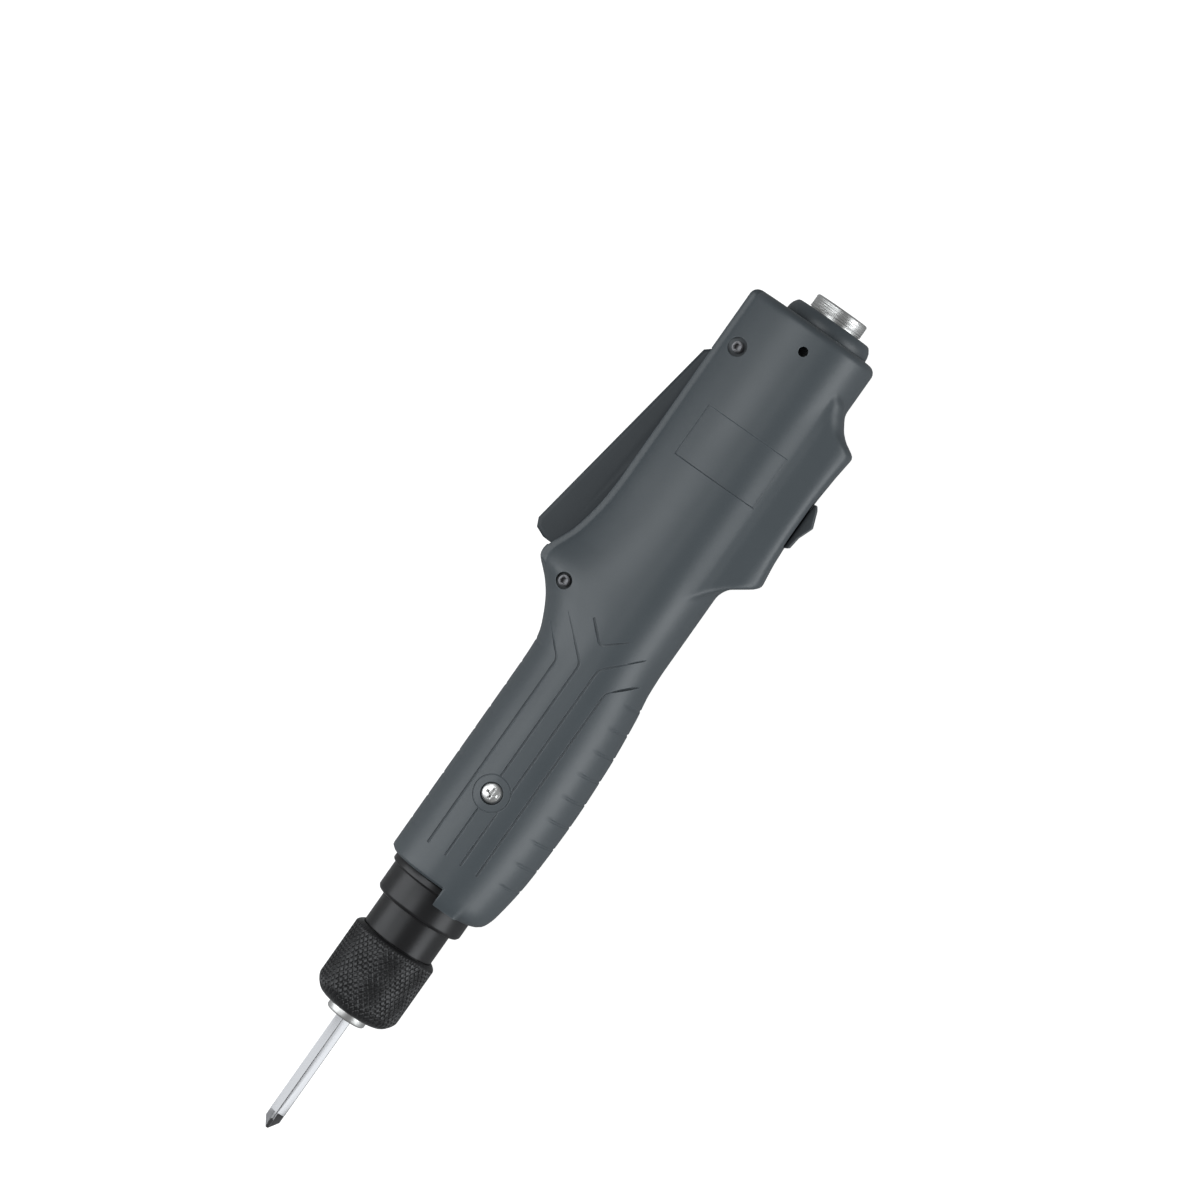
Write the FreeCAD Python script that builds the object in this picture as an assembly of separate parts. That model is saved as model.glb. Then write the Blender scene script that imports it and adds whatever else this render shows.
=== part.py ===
import FreeCAD, Part
import math
import os

# Electric torque screwdriver, lying on its side. X runs along the spindle axis from the nose face to the
# cable connector, Y points to the start lever and Z out of the left side. All sizes are in millimetres.

# Housing, front to back
nose_length = 39.0
grip_length = 60.0
shoulder_length = 21.8
rim_fall_length = 24.0
rear_length = 58.8
rear_boss_length = 3.6
connector_reach = 3.8
wall = 2.2
tab_reach = 4.2
front_wall = 3.0
rear_wall = 2.4

# Housing, heights over and under the spindle axis, and half widths
grip_top = 14.9
grip_height = 33.4
grip_half_width = 17.0
rear_half_width = 17.0
cover_top = 20.5
rear_bottom = 15.2
shoulder_top = 25.9
flat_above = 5.0
flat_below = 4.0
grip_flat_share = 0.3
rear_power = 2.5
lower_power = 2.1
guard_depth = 21.5
guard_corner_drop = 1.2
guard_half_width = 9.0
guard_root_half_width = 14.6
guard_length = 51.0
guard_back_margin = 16.4
groove_width = 2.0
long_groove_width = 1.7
groove_depth = 0.8
groove_pitch = 6.7
short_groove_count = 9
label_length = 14.4
label_height = 23.3
label_depth = 0.3
label_back = 30.2
label_low = 10.5
screw_pad_depth = 0.35
screw_pad_rim = 0.5

# Nose
nose_diameter = 23.0
ring_length = 20.6
ring_face = 2.5
ring_bore_radius = 6.2
hub_length = 9.0
thread_pitch = 1.5
turns_in = 4
neck_radius = 9.85
collar_radius = 12.0
collar_start = 29.2
step_radius = 12.9
step_length = 1.8
spring_bore_radius = 8.3
tube_seat_radius = 11.7
tab_relief = 0.25
tube_groove_depth = 1.2
tube_groove_width = 1.8

# Spindle, bit holder and bit
spindle_radius = 4.5
holder_radius = 3.5
holder_length = 8.4
bit_width = 4.0
bit_reach = 36.0
bit_depth = 16.0
bit_tip_length = 3.2
sleeve_radius = 5.4
sleeve_reach = 2.2
sleeve_length = 8.6
ball_radius = 0.9
ball_place = 3.4

# Torque spring and clutch
seat_flange = 1.4
seat_hub_length = 3.0
seat_hub_radius = 6.0
torque_wire = 1.6
torque_coils = 6
cam_start = 30.2
cam_thickness = 3.2
cam_hub_length = 2.0
clutch_ball_radius = 1.5
clutch_ball_count = 6
clutch_ball_circle = 7.0
clutch_gap = 1.2
clutch_radius = 9.2
drive_plate = 3.0

# Main bearing
bearing_bore_radius = 5.0
bearing_outer_radius = 9.5
bearing_width = 5.0
bearing_ball_radius = 1.2
bearing_ball_count = 9

# Gearbox
gear_module = 0.5
sun_teeth = 12
planet_teeth = 15
planet_count = 3
gear_width = 5.0
gear_backlash = 0.12
gear_addendum = 0.9
gear_dedendum = 1.2
pressure_angle = 20.0
carrier_plate = 1.8
carrier_radius = 8.8
planet_pin_radius = 1.0
gear_case_radius = 12.3
adapter_thickness = 8.4

# Motor
motor_radius = 11.7
motor_length = 36.0
can_wall = 1.0
shaft_radius = 1.15
bush_radius = 3.0
bush_length = 2.4
magnet_thickness = 1.5
magnet_length = 25.0
core_radius = 8.8
core_length = 20.0
core_slots = 5
commutator_radius = 3.0
commutator_length = 5.0
end_bell_flange = 3.0
brush_width = 1.6

# Lever and start switch
lever_height = 31.6
lever_rear_height = 21.9
lever_half_width = 6.2
lever_wall = 1.8
lever_skirt = 18.6
lever_front_gap = 2.6
lever_pin_radius = 1.5
pivot_height = 17.2
pivot_back = 20.6
pivot_to_plunger = 23.0
plunger_radius = 1.2
lever_spring_radius = 2.6
lever_spring_wire = 0.7
lever_spring_coils = 4
lever_spring_place = 14.8
lever_spring_height = 11.5
shelf_height = 6.0
shelf_thickness = 2.0
start_switch_height = 6.5
plunger_reach = 3.2

# Direction switch
knob_length = 13.0
knob_half_width = 4.6
knob_height = 1.1
knob_ridge = 1.9
knob_neck_length = 10.0
knob_neck_half_width = 2.4
knob_travel = 3.2
knob_place = 19.0
knob_neck_place = 1.2
slide_switch_drop = 5.2
slide_switch_height = 5.0

# Boards
board_thickness = 1.6
board_top = 4.0
board_half_width = 11.5
board_start = 6.0
board_end_gap = 12.0

# Connector
connector_radius = 7.35
connector_neck_radius = 7.0
connector_wall = 1.2
connector_depth = 8.4
connector_flange_radius = 8.6
rear_boss_radius = 11.8
rear_boss_tip_radius = 9.8
pin_count = 5
contact_radius = 0.5

# Screws and bail hole
case_screw_head = 1.45
case_screw_shank = 1.0
counterbore_front = 2.15
counterbore_rear = 2.5
grip_screw_head = 2.6
grip_screw_shank = 1.1
grip_screw_crown = 5.2
grip_screw_back = 26.9
grip_screw_height = 1.3
screw_pad_radius = 4.4
front_screw_ahead = 2.7
front_screw_rise = 2.1
rear_screw_back = 14.8
rear_screw_drop = 5.2
bail_hole_radius = 1.25
bail_hole_back = 6.7
bail_height = 1.3

# Clearances
running_gap = 0.05
part_gap = 0.3
rub_gap = 0.05
thread_gap = 0.1
tube_end_gap = 1.0

# Places along X
housing_front = nose_length
tab_front = housing_front - tab_reach
grip_end = housing_front + grip_length
shoulder_peak = grip_end + shoulder_length
rim_low = shoulder_peak + rim_fall_length
housing_end = rim_low + rear_length
connector_end = housing_end + rear_boss_length + connector_reach
grip_bottom = grip_height - grip_top
ring_radius = nose_diameter / 2
travel_in = thread_pitch * turns_in
tube_front = ring_face + travel_in + part_gap
drive_start = cam_start + cam_thickness + clutch_gap
hub_start = drive_start + drive_plate
bearing_start = hub_start + part_gap
carrier_start = bearing_start + bearing_width + part_gap
carrier_end = carrier_start + carrier_plate
tube_length = carrier_end + tube_end_gap
front_stage = tube_length
middle_plate = front_stage + gear_width + 2 * part_gap
rear_stage = middle_plate + carrier_plate + part_gap
adapter_start = rear_stage + gear_width + 2 * part_gap
motor_start = adapter_start + adapter_thickness
motor_end = motor_start + motor_length
ring_teeth = sun_teeth + 2 * planet_teeth
sun_pitch = gear_module * sun_teeth / 2
planet_pitch = gear_module * planet_teeth / 2
ring_pitch = gear_module * ring_teeth / 2
planet_circle = sun_pitch + planet_pitch
pivot_x = housing_end - pivot_back
lever_front = shoulder_peak + lever_front_gap
lever_back = pivot_x + 1.2
plunger_x = pivot_x - pivot_to_plunger
bail_x = housing_end - bail_hole_back
board_front = shoulder_peak + board_start
board_back = housing_end - board_end_gap
guard_end = housing_end - guard_back_margin
guard_start = guard_end - guard_length
cheek_end = grip_end + 0.68 * shoulder_length
grip_screw_x = housing_front + grip_screw_back
knob_front = guard_start + knob_place
neck_start = knob_front + knob_neck_place
switch_top = board_top + start_switch_height
plunger_top = switch_top + plunger_reach
spring_top = shelf_height + shelf_thickness + lever_spring_height
slide_switch_low = guard_depth - wall - slide_switch_drop
slide_switch_high = slide_switch_low - slide_switch_height


def vec(x, y, z):
    return FreeCAD.Vector(x, y, z)


X_AXIS = vec(1, 0, 0)
Y_AXIS = vec(0, 1, 0)
Z_AXIS = vec(0, 0, 1)
ORIGIN = vec(0, 0, 0)


def rod(radius, start, end, y=0.0, z=0.0):
    return Part.makeCylinder(radius, end - start, vec(start, y, z), X_AXIS)


def tube(outer, inner, start, end):
    return rod(outer, start, end).cut(rod(inner, start - 1, end + 1))


def block(x0, x1, y0, y1, z0, z1):
    return Part.makeBox(x1 - x0, y1 - y0, z1 - z0, vec(x0, y0, z0))


def cross_rod(radius, x, y, z0, z1):
    return Part.makeCylinder(radius, z1 - z0, vec(x, y, z0), Z_AXIS)


def upright_rod(radius, x, z, y0, y1):
    return Part.makeCylinder(radius, y1 - y0, vec(x, y0, z), Y_AXIS)


def turned(profile):
    wire = Part.makePolygon([vec(x, r, 0) for x, r in profile + profile[:1]])
    return Part.Face(wire).revolve(ORIGIN, X_AXIS, 360)


def plate(points, z0, z1):
    wire = Part.makePolygon([vec(x, y, z0) for x, y in points + points[:1]])
    return Part.Face(wire).extrude(vec(0, 0, z1 - z0))


def fused(shapes):
    return shapes[0].multiFuse(shapes[1:]).removeSplitter()


def spun(shape, angle):
    copy = shape.copy()
    copy.rotate(ORIGIN, X_AXIS, angle)
    return copy


def ring_of(shape, count):
    return [spun(shape, 360.0 * i / count) for i in range(count)]


def save(name, shapes):
    solids = []
    for shape in shapes:
        solids.extend(shape.Solids)
    whole = solids[0] if len(solids) == 1 else Part.makeCompound(solids)
    whole.exportStep("parts/" + name + ".step")


def section(station, inset):
    """Closed cross-section: flat sides, two round corners below and two squarer ones above."""
    x, top, bottom, half_width, power = station
    share = flat_share(x)

    def corner(degrees):
        c = math.cos(math.radians(degrees))
        s = math.sin(math.radians(degrees))
        reach = power if s > 0 else lower_power
        height = (top if s > 0 else bottom) - inset
        flat = share * (flat_above if s > 0 else flat_below)
        y = flat + (height - flat) * abs(s) ** (2 / reach)
        return vec(x, math.copysign(y, s), math.copysign((half_width - inset) * abs(c) ** (2 / reach), c))

    nothing = 1e-7
    above = [(nothing, 24, 45), (45, 66, 90), (90, 114, 135), (135, 156, 180 - nothing)]
    below = [(180 + nothing, 225, 270), (270, 315, 360 - nothing)]
    arcs = [Part.Arc(corner(a), corner(b), corner(c)).toShape() for a, b, c in above]
    arcs.append(Part.makeLine(corner(180 - nothing), corner(180 + nothing)))
    arcs += [Part.Arc(corner(a), corner(b), corner(c)).toShape() for a, b, c in below]
    arcs.append(Part.makeLine(corner(-nothing), corner(nothing)))
    return Part.Wire(arcs)


def flat_share(x):
    """How much of the full side flat there is at a place: narrow on the grip, whole on the rear body."""
    run = min(max((x - grip_end) / (cheek_end - grip_end), 0.0), 1.0)
    return grip_flat_share + (1.0 - grip_flat_share) * run


# Stations of the housing: place, top, bottom, half width, squareness of the upper half
grip_stations = [
    (tab_front, 0.88 * grip_top, 0.72 * grip_bottom, 0.79 * grip_half_width, 2.1),
    (tab_front + 1.7, 0.95 * grip_top, 0.83 * grip_bottom, 0.88 * grip_half_width, 2.1),
    (housing_front + 0.8, grip_top, 0.89 * grip_bottom, 0.93 * grip_half_width, 2.1),
    (housing_front + 0.24 * grip_length, grip_top, 0.98 * grip_bottom, 0.985 * grip_half_width, 2.1),
    (housing_front + 0.5 * grip_length, grip_top, grip_bottom, grip_half_width, 2.1),
    (housing_front + 0.76 * grip_length, grip_top, 0.97 * grip_bottom, 0.99 * grip_half_width, 2.15),
    (grip_end, grip_top + 0.1, 0.9 * grip_bottom, 0.97 * grip_half_width, 2.2),
    (grip_end + 0.36 * shoulder_length, grip_top + 1.9, rear_bottom + 0.3, 0.97 * rear_half_width, 2.3),
    (cheek_end, cover_top, rear_bottom, rear_half_width, rear_power),
]
rear_stations = [
    (housing_end - 2.0, cover_top, rear_bottom, rear_half_width, rear_power),
    (housing_end - 0.6, cover_top - 0.5, rear_bottom - 0.5, rear_half_width - 0.5, rear_power),
    (housing_end, cover_top - 1.8, rear_bottom - 1.6, rear_half_width - 1.7, rear_power),
]


def hull(stations, inset):
    return Part.makeLoft([section(station, inset) for station in stations], True, True)


def straight_body(inset):
    """Rear body between the shoulder and the rear end, the same section all along."""
    face = Part.Face(section(grip_stations[-1], inset))
    return face.extrude(vec(rear_stations[0][0] - cheek_end, 0, 0))


def keel_bar(half_section, start, end):
    """Bar along X whose cross-section is given for one side, from its root to its tip."""
    half = [vec(start, y, z) for y, z in half_section]
    mirror = [vec(start, y, -z) for y, z in reversed(half_section)]
    return Part.Face(Part.makePolygon(half + mirror + half[:1])).extrude(vec(end - start, 0, 0))


def shoulder_solid(inset):
    """Shoulder in front of the lever, which falls behind it into the two rims."""
    peak = shoulder_top - inset
    outline = [
        (grip_end - 6.0, grip_top - 6.0),
        (grip_end - 3.0, grip_top - inset),
        (grip_end + 2.4, grip_top + 0.2 - inset),
        (grip_end + 5.0, grip_top + 0.8 - inset),
        (grip_end + 9.0, grip_top + 2.4 - inset),
        (grip_end + 13.0, grip_top + 4.6 - inset),
        (grip_end + 16.2, grip_top + 7.2 - inset),
        (shoulder_peak - 2.6, peak - 0.9),
        (shoulder_peak - 1.0, peak - 0.1),
        (shoulder_peak, peak),
        (shoulder_peak + 1.6, peak - 0.1),
        (shoulder_peak + 3.0, peak - 0.6),
        (shoulder_peak + 5.4, peak - 1.7),
        (shoulder_peak + 9.0, peak - 3.2),
        (shoulder_peak + 15.0, cover_top + 0.9 - inset),
        (shoulder_peak + 21.0, cover_top + 0.2 - inset),
        (rim_low, cover_top - inset),
        (rim_low + 2.0, cover_top - 6.0),
    ]
    blank = plate(outline, -rear_half_width, rear_half_width)
    side = [
        (grip_top - 7.0, 0.955 * rear_half_width - inset),
        (grip_top - 1.5, 0.86 * rear_half_width - inset),
        (cover_top - 1.6, 0.77 * rear_half_width - inset),
        (shoulder_top - 3.0, 0.72 * rear_half_width - inset),
        (shoulder_top - 0.9 - inset, 0.67 * rear_half_width - inset),
        (shoulder_top + 0.1 - inset, 0.6 * rear_half_width - inset),
    ]
    return blank.common(keel_bar(side, grip_end - 10, rim_low + 10))


def guard_solid(inset):
    """Switch guard under the rear body: its side outline cut from a keel-shaped bar."""
    low = guard_depth + guard_corner_drop - inset
    outline = [
        (guard_start - 3.0 + inset, -(rear_bottom - 4.0)),
        (guard_start + 1.0 + inset, -(rear_bottom - 0.2)),
        (guard_start + 3.0 + inset, -(rear_bottom + 1.2)),
        (guard_start + 6.4 + inset, -(low - 1.0)),
        (guard_start + 7.2 + inset, -low),
        (guard_start + 14.0, -(guard_depth + 0.4 - inset)),
        (guard_start + 21.0, -(guard_depth - inset)),
        (guard_start + 33.0, -(guard_depth - inset)),
        (guard_start + 40.0, -(guard_depth + 0.5 - inset)),
        (guard_end - 4.4 - inset, -low),
        (guard_end - 3.2 - inset, -(low - 1.2)),
        (guard_end - 0.4 - inset, -(rear_bottom + 2.0)),
        (guard_end + 4.0 - inset, -(rear_bottom - 0.2)),
        (guard_end + 8.0 - inset, -(rear_bottom - 4.0)),
    ]
    blank = plate(outline, -guard_root_half_width, guard_root_half_width)
    root = guard_root_half_width - inset
    foot = guard_half_width - inset
    side = [
        (-8.0, root),
        (-(rear_bottom - 3.6), root),
        (-(guard_depth - 3.2 - inset), foot + 1.5),
        (-(guard_depth - 1.0 - inset), foot),
        (-(low + 0.1), foot - 1.6),
    ]
    return blank.common(keel_bar(side, guard_start - 20, guard_end + 20))


def body_envelope(inset):
    """Main housing form, without the guard, at a given depth under its skin."""
    return fused([hull(grip_stations, inset), straight_body(inset), shoulder_solid(inset)])


def housing_outside():
    return fused([body_envelope(0.0), hull(rear_stations, 0.0), guard_solid(0.0)])


def cavity():
    """Hollow inside the housing, less the cross ribs that cradle the gearbox, motor and boards."""
    inner = hull(grip_stations, wall).fuse(straight_body(wall))
    room = block(housing_front + front_wall, housing_end - rear_wall, -40, cover_top - wall, -40, 40)
    inner = inner.common(room).fuse(guard_solid(wall))
    inner = inner.fuse(rod(gear_case_radius + rub_gap, tube_length - rub_gap, motor_start))
    inner = inner.fuse(rod(motor_radius + rub_gap, motor_start - rub_gap, motor_end + end_bell_flange + part_gap))
    front_ribs = [
        (front_stage + 3.0, gear_case_radius + rub_gap),
        (rear_stage + 2.0, gear_case_radius + rub_gap),
        (motor_start + 6.0, motor_radius + rub_gap),
        (motor_end - 8.0, motor_radius + rub_gap),
    ]
    for x, radius in front_ribs:
        inner = inner.cut(block(x, x + 1.6, -40, 40, -40, 40).cut(rod(radius, x - 1, x + 3)))
    shelf_x = lever_front + lever_spring_place
    shelf = block(shelf_x - 5, shelf_x + 5, shelf_height, shelf_height + shelf_thickness, -40, 40)
    ledges = []
    for side in (-1, 1):
        z_in = side * (board_half_width - 1.0)
        low, high = sorted((z_in, side * 40))
        for x in (board_front + 4, board_back - 12):
            top = board_top - board_thickness - rub_gap
            ledges.append(block(x, x + 8, top - 1.6, top, low, high))
    inner = inner.cut(fused([shelf] + ledges))
    return inner


def screw_places():
    front = (shoulder_peak - front_screw_ahead, grip_top + front_screw_rise, counterbore_front)
    rear = (housing_end - rear_screw_back, cover_top - rear_screw_drop, counterbore_rear)
    return [front, rear]


def side_at(x, y):
    """Half width of the outer skin where a line along Z meets it."""
    line = Part.makeLine(vec(x, y, 0), vec(x, y, 60))
    edges = line.common(outside).Edges
    return max(edge.BoundBox.ZMax for edge in edges)


def skin_half_width(x, y):
    """Half width of the grip's skin at a place seen from the side, worked out from its stations."""
    stations = grip_stations
    after = next((i for i, station in enumerate(stations) if station[0] > x), len(stations) - 1)
    before = max(after - 1, 0)
    run = stations[after][0] - stations[before][0]
    share = min(max((x - stations[before][0]) / run, 0), 1) if run else 0
    top, bottom, width, power = [a + share * (b - a) for a, b in zip(stations[before][1:], stations[after][1:])]
    height = top if y > 0 else bottom
    flat = flat_share(x) * (flat_above if y > 0 else flat_below)
    reach = power if y > 0 else lower_power
    inside = max(1 - (max(abs(y) - flat, 0) / (height - flat)) ** reach, 0.02)
    return width * inside ** (1 / reach)


def groove(points, width):
    """Groove of even depth along a line seen from the side, cut straight in from the skin."""
    frames = []
    for i, (x, y) in enumerate(points):
        ahead = points[min(i + 1, len(points) - 1)]
        behind = points[max(i - 1, 0)]
        run = math.hypot(ahead[0] - behind[0], ahead[1] - behind[1])
        nx = -(ahead[1] - behind[1]) / run * width / 2
        ny = (ahead[0] - behind[0]) / run * width / 2
        floor = skin_half_width(x, y) - groove_depth
        corners = [vec(x + nx, y + ny, floor), vec(x - nx, y - ny, floor),
                   vec(x - nx, y - ny, 30), vec(x + nx, y + ny, 30)]
        frames.append(Part.makePolygon(corners + corners[:1]))
    return Part.makeLoft(frames, True, True)


def grooves():
    """Long grip grooves that fan out at the shoulder, the arrow between them and the short side grooves."""
    start = housing_front + 8.0
    width = long_groove_width
    fan = grip_end + 5.0
    stops = [start] + [station[0] for station in grip_stations[3:6]] + [grip_end]
    tails = [
        (7.3, [(fan - 2.2, 7.3), (fan + 1.8, 11.8), (fan + 4.2, 14.6)]),
        (1.9, [(fan, 1.9), (fan + 4.4, 6.8), (fan + 8.6, 11.6)]),
        (-2.6, [(fan + 1.4, -2.6), (fan + 5.6, -6.6), (fan + 9.8, -10.6)]),
        (-7.3, [(fan - 2.2, -7.3), (fan + 3.4, -13.8)]),
    ]
    cuts = []
    for y, tail in tails:
        cuts.append(groove([(x, y) for x in stops] + tail, width))
    cuts.append(groove([(fan + 11.2, 5.6), (fan + 6.4, 0.5), (fan + 11.2, -5.0)], width))
    for i in range(short_groove_count):
        x = housing_front + 9.3 + i * groove_pitch
        cuts.append(groove([(x, 10.4), (x, 12.6), (x, grip_top - 0.5)], groove_width))
        cuts.append(groove([(x, -11.6), (x, -14.6), (x, 0.9 - 0.93 * grip_bottom)], groove_width))
    return cuts


def shell_pair():
    """Both halves of the housing, split on the middle plane."""
    case = outside.cut(cavity())
    bosses = []
    for x, y, bore in screw_places():
        bosses.append(cross_rod(bore + 1.0, x, y, -side_at(x, y), side_at(x, y)))
    pin_boss = cross_rod(lever_pin_radius + 1.6, pivot_x, pivot_height, -40, 40).common(outside)
    bail_boss = cross_rod(bail_hole_radius + 1.5, bail_x, bail_height, -40, 40)
    bail_boss = bail_boss.cut(block(bail_x - 9, bail_x + 9, -9, 9, -(rear_half_width - 4.4), rear_half_width - 4.4))
    bosses.append(bail_boss)
    bosses.append(pin_boss)
    case = case.fuse(fused(bosses).common(outside))
    cuts = []
    cuts.append(block(tab_front - 5, housing_front + 0.6, -2.4, 40, -40, 40))
    cuts.append(rod(collar_radius + thread_gap, tab_front - 1, housing_front))
    cuts.append(rod(tube_seat_radius + thread_gap, housing_front - 1, housing_front + front_wall + 1))
    cuts.append(rod(step_radius + thread_gap, housing_front - step_length - rub_gap, housing_front + 0.6))
    slot_half = lever_half_width + 0.7
    cuts.append(block(shoulder_peak + 1.6, lever_back + 0.8, 8.5, 60, -slot_half, slot_half))
    cuts.append(cross_rod(lever_pin_radius, pivot_x, pivot_height, -(slot_half + 4), slot_half + 4))
    cuts.append(cross_rod(bail_hole_radius, bail_x, bail_height, -40, 40))
    cuts.append(rod(rear_boss_tip_radius - 0.2, housing_end - rear_wall - 1, housing_end + 1))
    cuts.append(block(knob_front - 0.4, knob_front + knob_length + 3.3, -40, -(rear_bottom + 1), -2.8, 2.8))
    case = case.cut(fused(cuts))
    rib_x = housing_front + front_wall
    rib = tube(tube_seat_radius + 2.7, tube_seat_radius - tube_groove_depth + rub_gap, rib_x,
               rib_x + tube_groove_width)
    case = case.fuse(rib.common(body_envelope(1.0)))
    left = case.common(block(0, 300, -60, 60, 0, 60))
    right = case.common(block(0, 300, -60, 60, -60, 0))
    cuts = Part.makeCompound(grooves())
    pad = cross_rod(screw_pad_radius, grip_screw_x, grip_screw_height, 0, 60)
    left = left.cut(cuts.cut(pad))
    right = right.cut(cuts.mirror(ORIGIN, Z_AXIS))
    rim = cross_rod(screw_pad_radius + screw_pad_rim, grip_screw_x, grip_screw_height, 5, 60).cut(pad)
    left = left.cut(rim.cut(hull(grip_stations, screw_pad_depth)))
    label_x = housing_end - label_back - label_length
    label = block(label_x, label_x + label_length, -label_low, label_height - label_low, 5, 60)
    left = left.cut(label.cut(straight_body(label_depth)))
    for x, y, bore in screw_places():
        side = side_at(x, y)
        left = left.cut(cross_rod(bore, x, y, side - 3.0, 60))
        left = left.cut(cross_rod(case_screw_shank + 0.1, x, y, -1, side))
        right = right.cut(cross_rod(case_screw_shank, x, y, -7.0, 1))
    side = side_at(grip_screw_x, grip_screw_height)
    seat = cross_rod(grip_screw_head + 1.4, grip_screw_x, grip_screw_height, side - wall - 1.0, side - 1.0)
    left = left.fuse(seat.cut(rod(gear_case_radius + rub_gap, grip_screw_x - 9, grip_screw_x + 9)))
    left = left.cut(cross_rod(grip_screw_head + 0.25, grip_screw_x, grip_screw_height, side - 1.3, 60))
    left = left.cut(cross_rod(grip_screw_shank + 0.2, grip_screw_x, grip_screw_height, 5, 60))
    return left, right


def nose_tube():
    groove = housing_front + front_wall - rub_gap
    groove_end = groove + tube_groove_width + 2 * rub_gap
    step_start = housing_front - step_length
    outside_line = [
        (tube_front, neck_radius - 0.5),
        (tube_front + 0.5, neck_radius),
        (collar_start - 0.2, neck_radius),
        (collar_start - 0.2, neck_radius + 0.65),
        (collar_start + 1.2, collar_radius),
        (tab_front - part_gap, collar_radius),
        (tab_front - part_gap, collar_radius - tab_relief),
        (step_start, collar_radius - tab_relief),
        (step_start, step_radius),
        (housing_front + part_gap - rub_gap, step_radius),
        (housing_front + part_gap - rub_gap, tube_seat_radius),
        (groove, tube_seat_radius),
        (groove, tube_seat_radius - tube_groove_depth),
        (groove_end, tube_seat_radius - tube_groove_depth),
        (groove_end, tube_seat_radius),
        (tube_length, tube_seat_radius),
    ]
    chamber = cam_start - 0.7
    inside_line = [
        (tube_length, bearing_outer_radius),
        (chamber, bearing_outer_radius),
        (chamber, spring_bore_radius),
        (tube_front, spring_bore_radius),
    ]
    return turned(outside_line + inside_line)


def torque_ring():
    thread = neck_radius + thread_gap
    profile = [
        (0, ring_bore_radius),
        (0, ring_radius - 3.1),
        (0.8, ring_radius - 2.0),
        (1.9, ring_radius - 0.9),
        (3.3, ring_radius),
        (ring_length - 1.3, ring_radius),
        (ring_length, ring_radius - 1.0),
        (ring_length, thread),
        (ring_face, thread),
        (ring_face, spring_bore_radius - 0.2),
        (hub_length, spring_bore_radius - 0.2),
        (hub_length, ring_bore_radius),
    ]
    return turned(profile)


def spring_seat():
    start = hub_length + rub_gap
    bore = spindle_radius + running_gap
    profile = [
        (start, bore),
        (start, spring_bore_radius - 0.1),
        (start + seat_flange, spring_bore_radius - 0.1),
        (start + seat_flange, seat_hub_radius),
        (start + seat_flange + seat_hub_length, seat_hub_radius),
        (start + seat_flange + seat_hub_length, bore),
    ]
    return turned(profile)


def coil_spring(radius, wire, coils, length):
    """Helical spring along +X from the origin, its wire a six-sided bar, with its ends inside the length."""
    travel = length - wire
    helix = Part.makeHelix(travel / coils, travel, radius)
    start = helix.Edges[0].valueAt(helix.Edges[0].FirstParameter)
    corners = []
    for i in range(7):
        angle = math.radians(60 * i)
        corners.append(start + vec(wire / 2 * math.cos(angle), 0, wire / 2 * math.sin(angle)))
    spring = Part.Wire(helix).makePipeShell([Part.makePolygon(corners)], True, True)
    spring.rotate(ORIGIN, Y_AXIS, 90)
    spring.translate(vec(wire / 2, 0, 0))
    return spring


def torque_spring():
    start = hub_length + rub_gap + seat_flange + 0.1
    spring = coil_spring((seat_hub_radius + spring_bore_radius) / 2, torque_wire, torque_coils,
                         cam_start - 0.1 - start)
    spring.translate(vec(start, 0, 0))
    return spring


def clutch_balls():
    centre = cam_start + cam_thickness + clutch_gap / 2
    ball = Part.makeSphere(clutch_ball_radius, vec(centre, clutch_ball_circle, 0))
    return ring_of(ball, clutch_ball_count)


def ball_pockets():
    centre = cam_start + cam_thickness + clutch_gap / 2
    pocket = Part.makeSphere(clutch_ball_radius + running_gap, vec(centre, clutch_ball_circle, 0))
    return fused(ring_of(pocket, clutch_ball_count))


def clutch_cam():
    bore = spindle_radius + running_gap
    hub = tube(seat_hub_radius, bore, cam_start - cam_hub_length, cam_start + cam_thickness)
    disc = tube(clutch_radius, bore, cam_start, cam_start + cam_thickness)
    return hub.fuse(disc).removeSplitter().cut(ball_pockets())


def hexagon(width, start, end):
    radius = width / math.sqrt(3)
    corners = []
    for i in range(7):
        angle = math.radians(60 * i + 90)
        corners.append(vec(start, radius * math.cos(angle), radius * math.sin(angle)))
    return Part.Face(Part.makePolygon(corners)).extrude(vec(end - start, 0, 0))


def spindle():
    front = -sleeve_reach + 0.6
    body = rod(holder_radius, front, holder_length + 0.1)
    body = body.fuse(rod(spindle_radius, holder_length, drive_start - rub_gap))
    body = body.fuse(rod(bearing_bore_radius - 1.6, drive_start - 1, carrier_end)).removeSplitter()
    body = body.cut(hexagon(bit_width + 0.1, front - 1, bit_depth + 0.2))
    body = body.cut(upright_rod(ball_radius + running_gap, ball_place, 0, 0, 9))
    clip = tube(9, holder_radius - 0.4, front + 0.5, front + 1.2)
    return body.cut(clip)


def sleeve_clip():
    front = -sleeve_reach + 1.1 + 0.02
    ring = tube(holder_radius + 0.5, holder_radius - 0.38, front, front + 0.66)
    return ring.cut(block(front - 1, front + 2, -9, 0, -0.8, 0.8))


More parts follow.
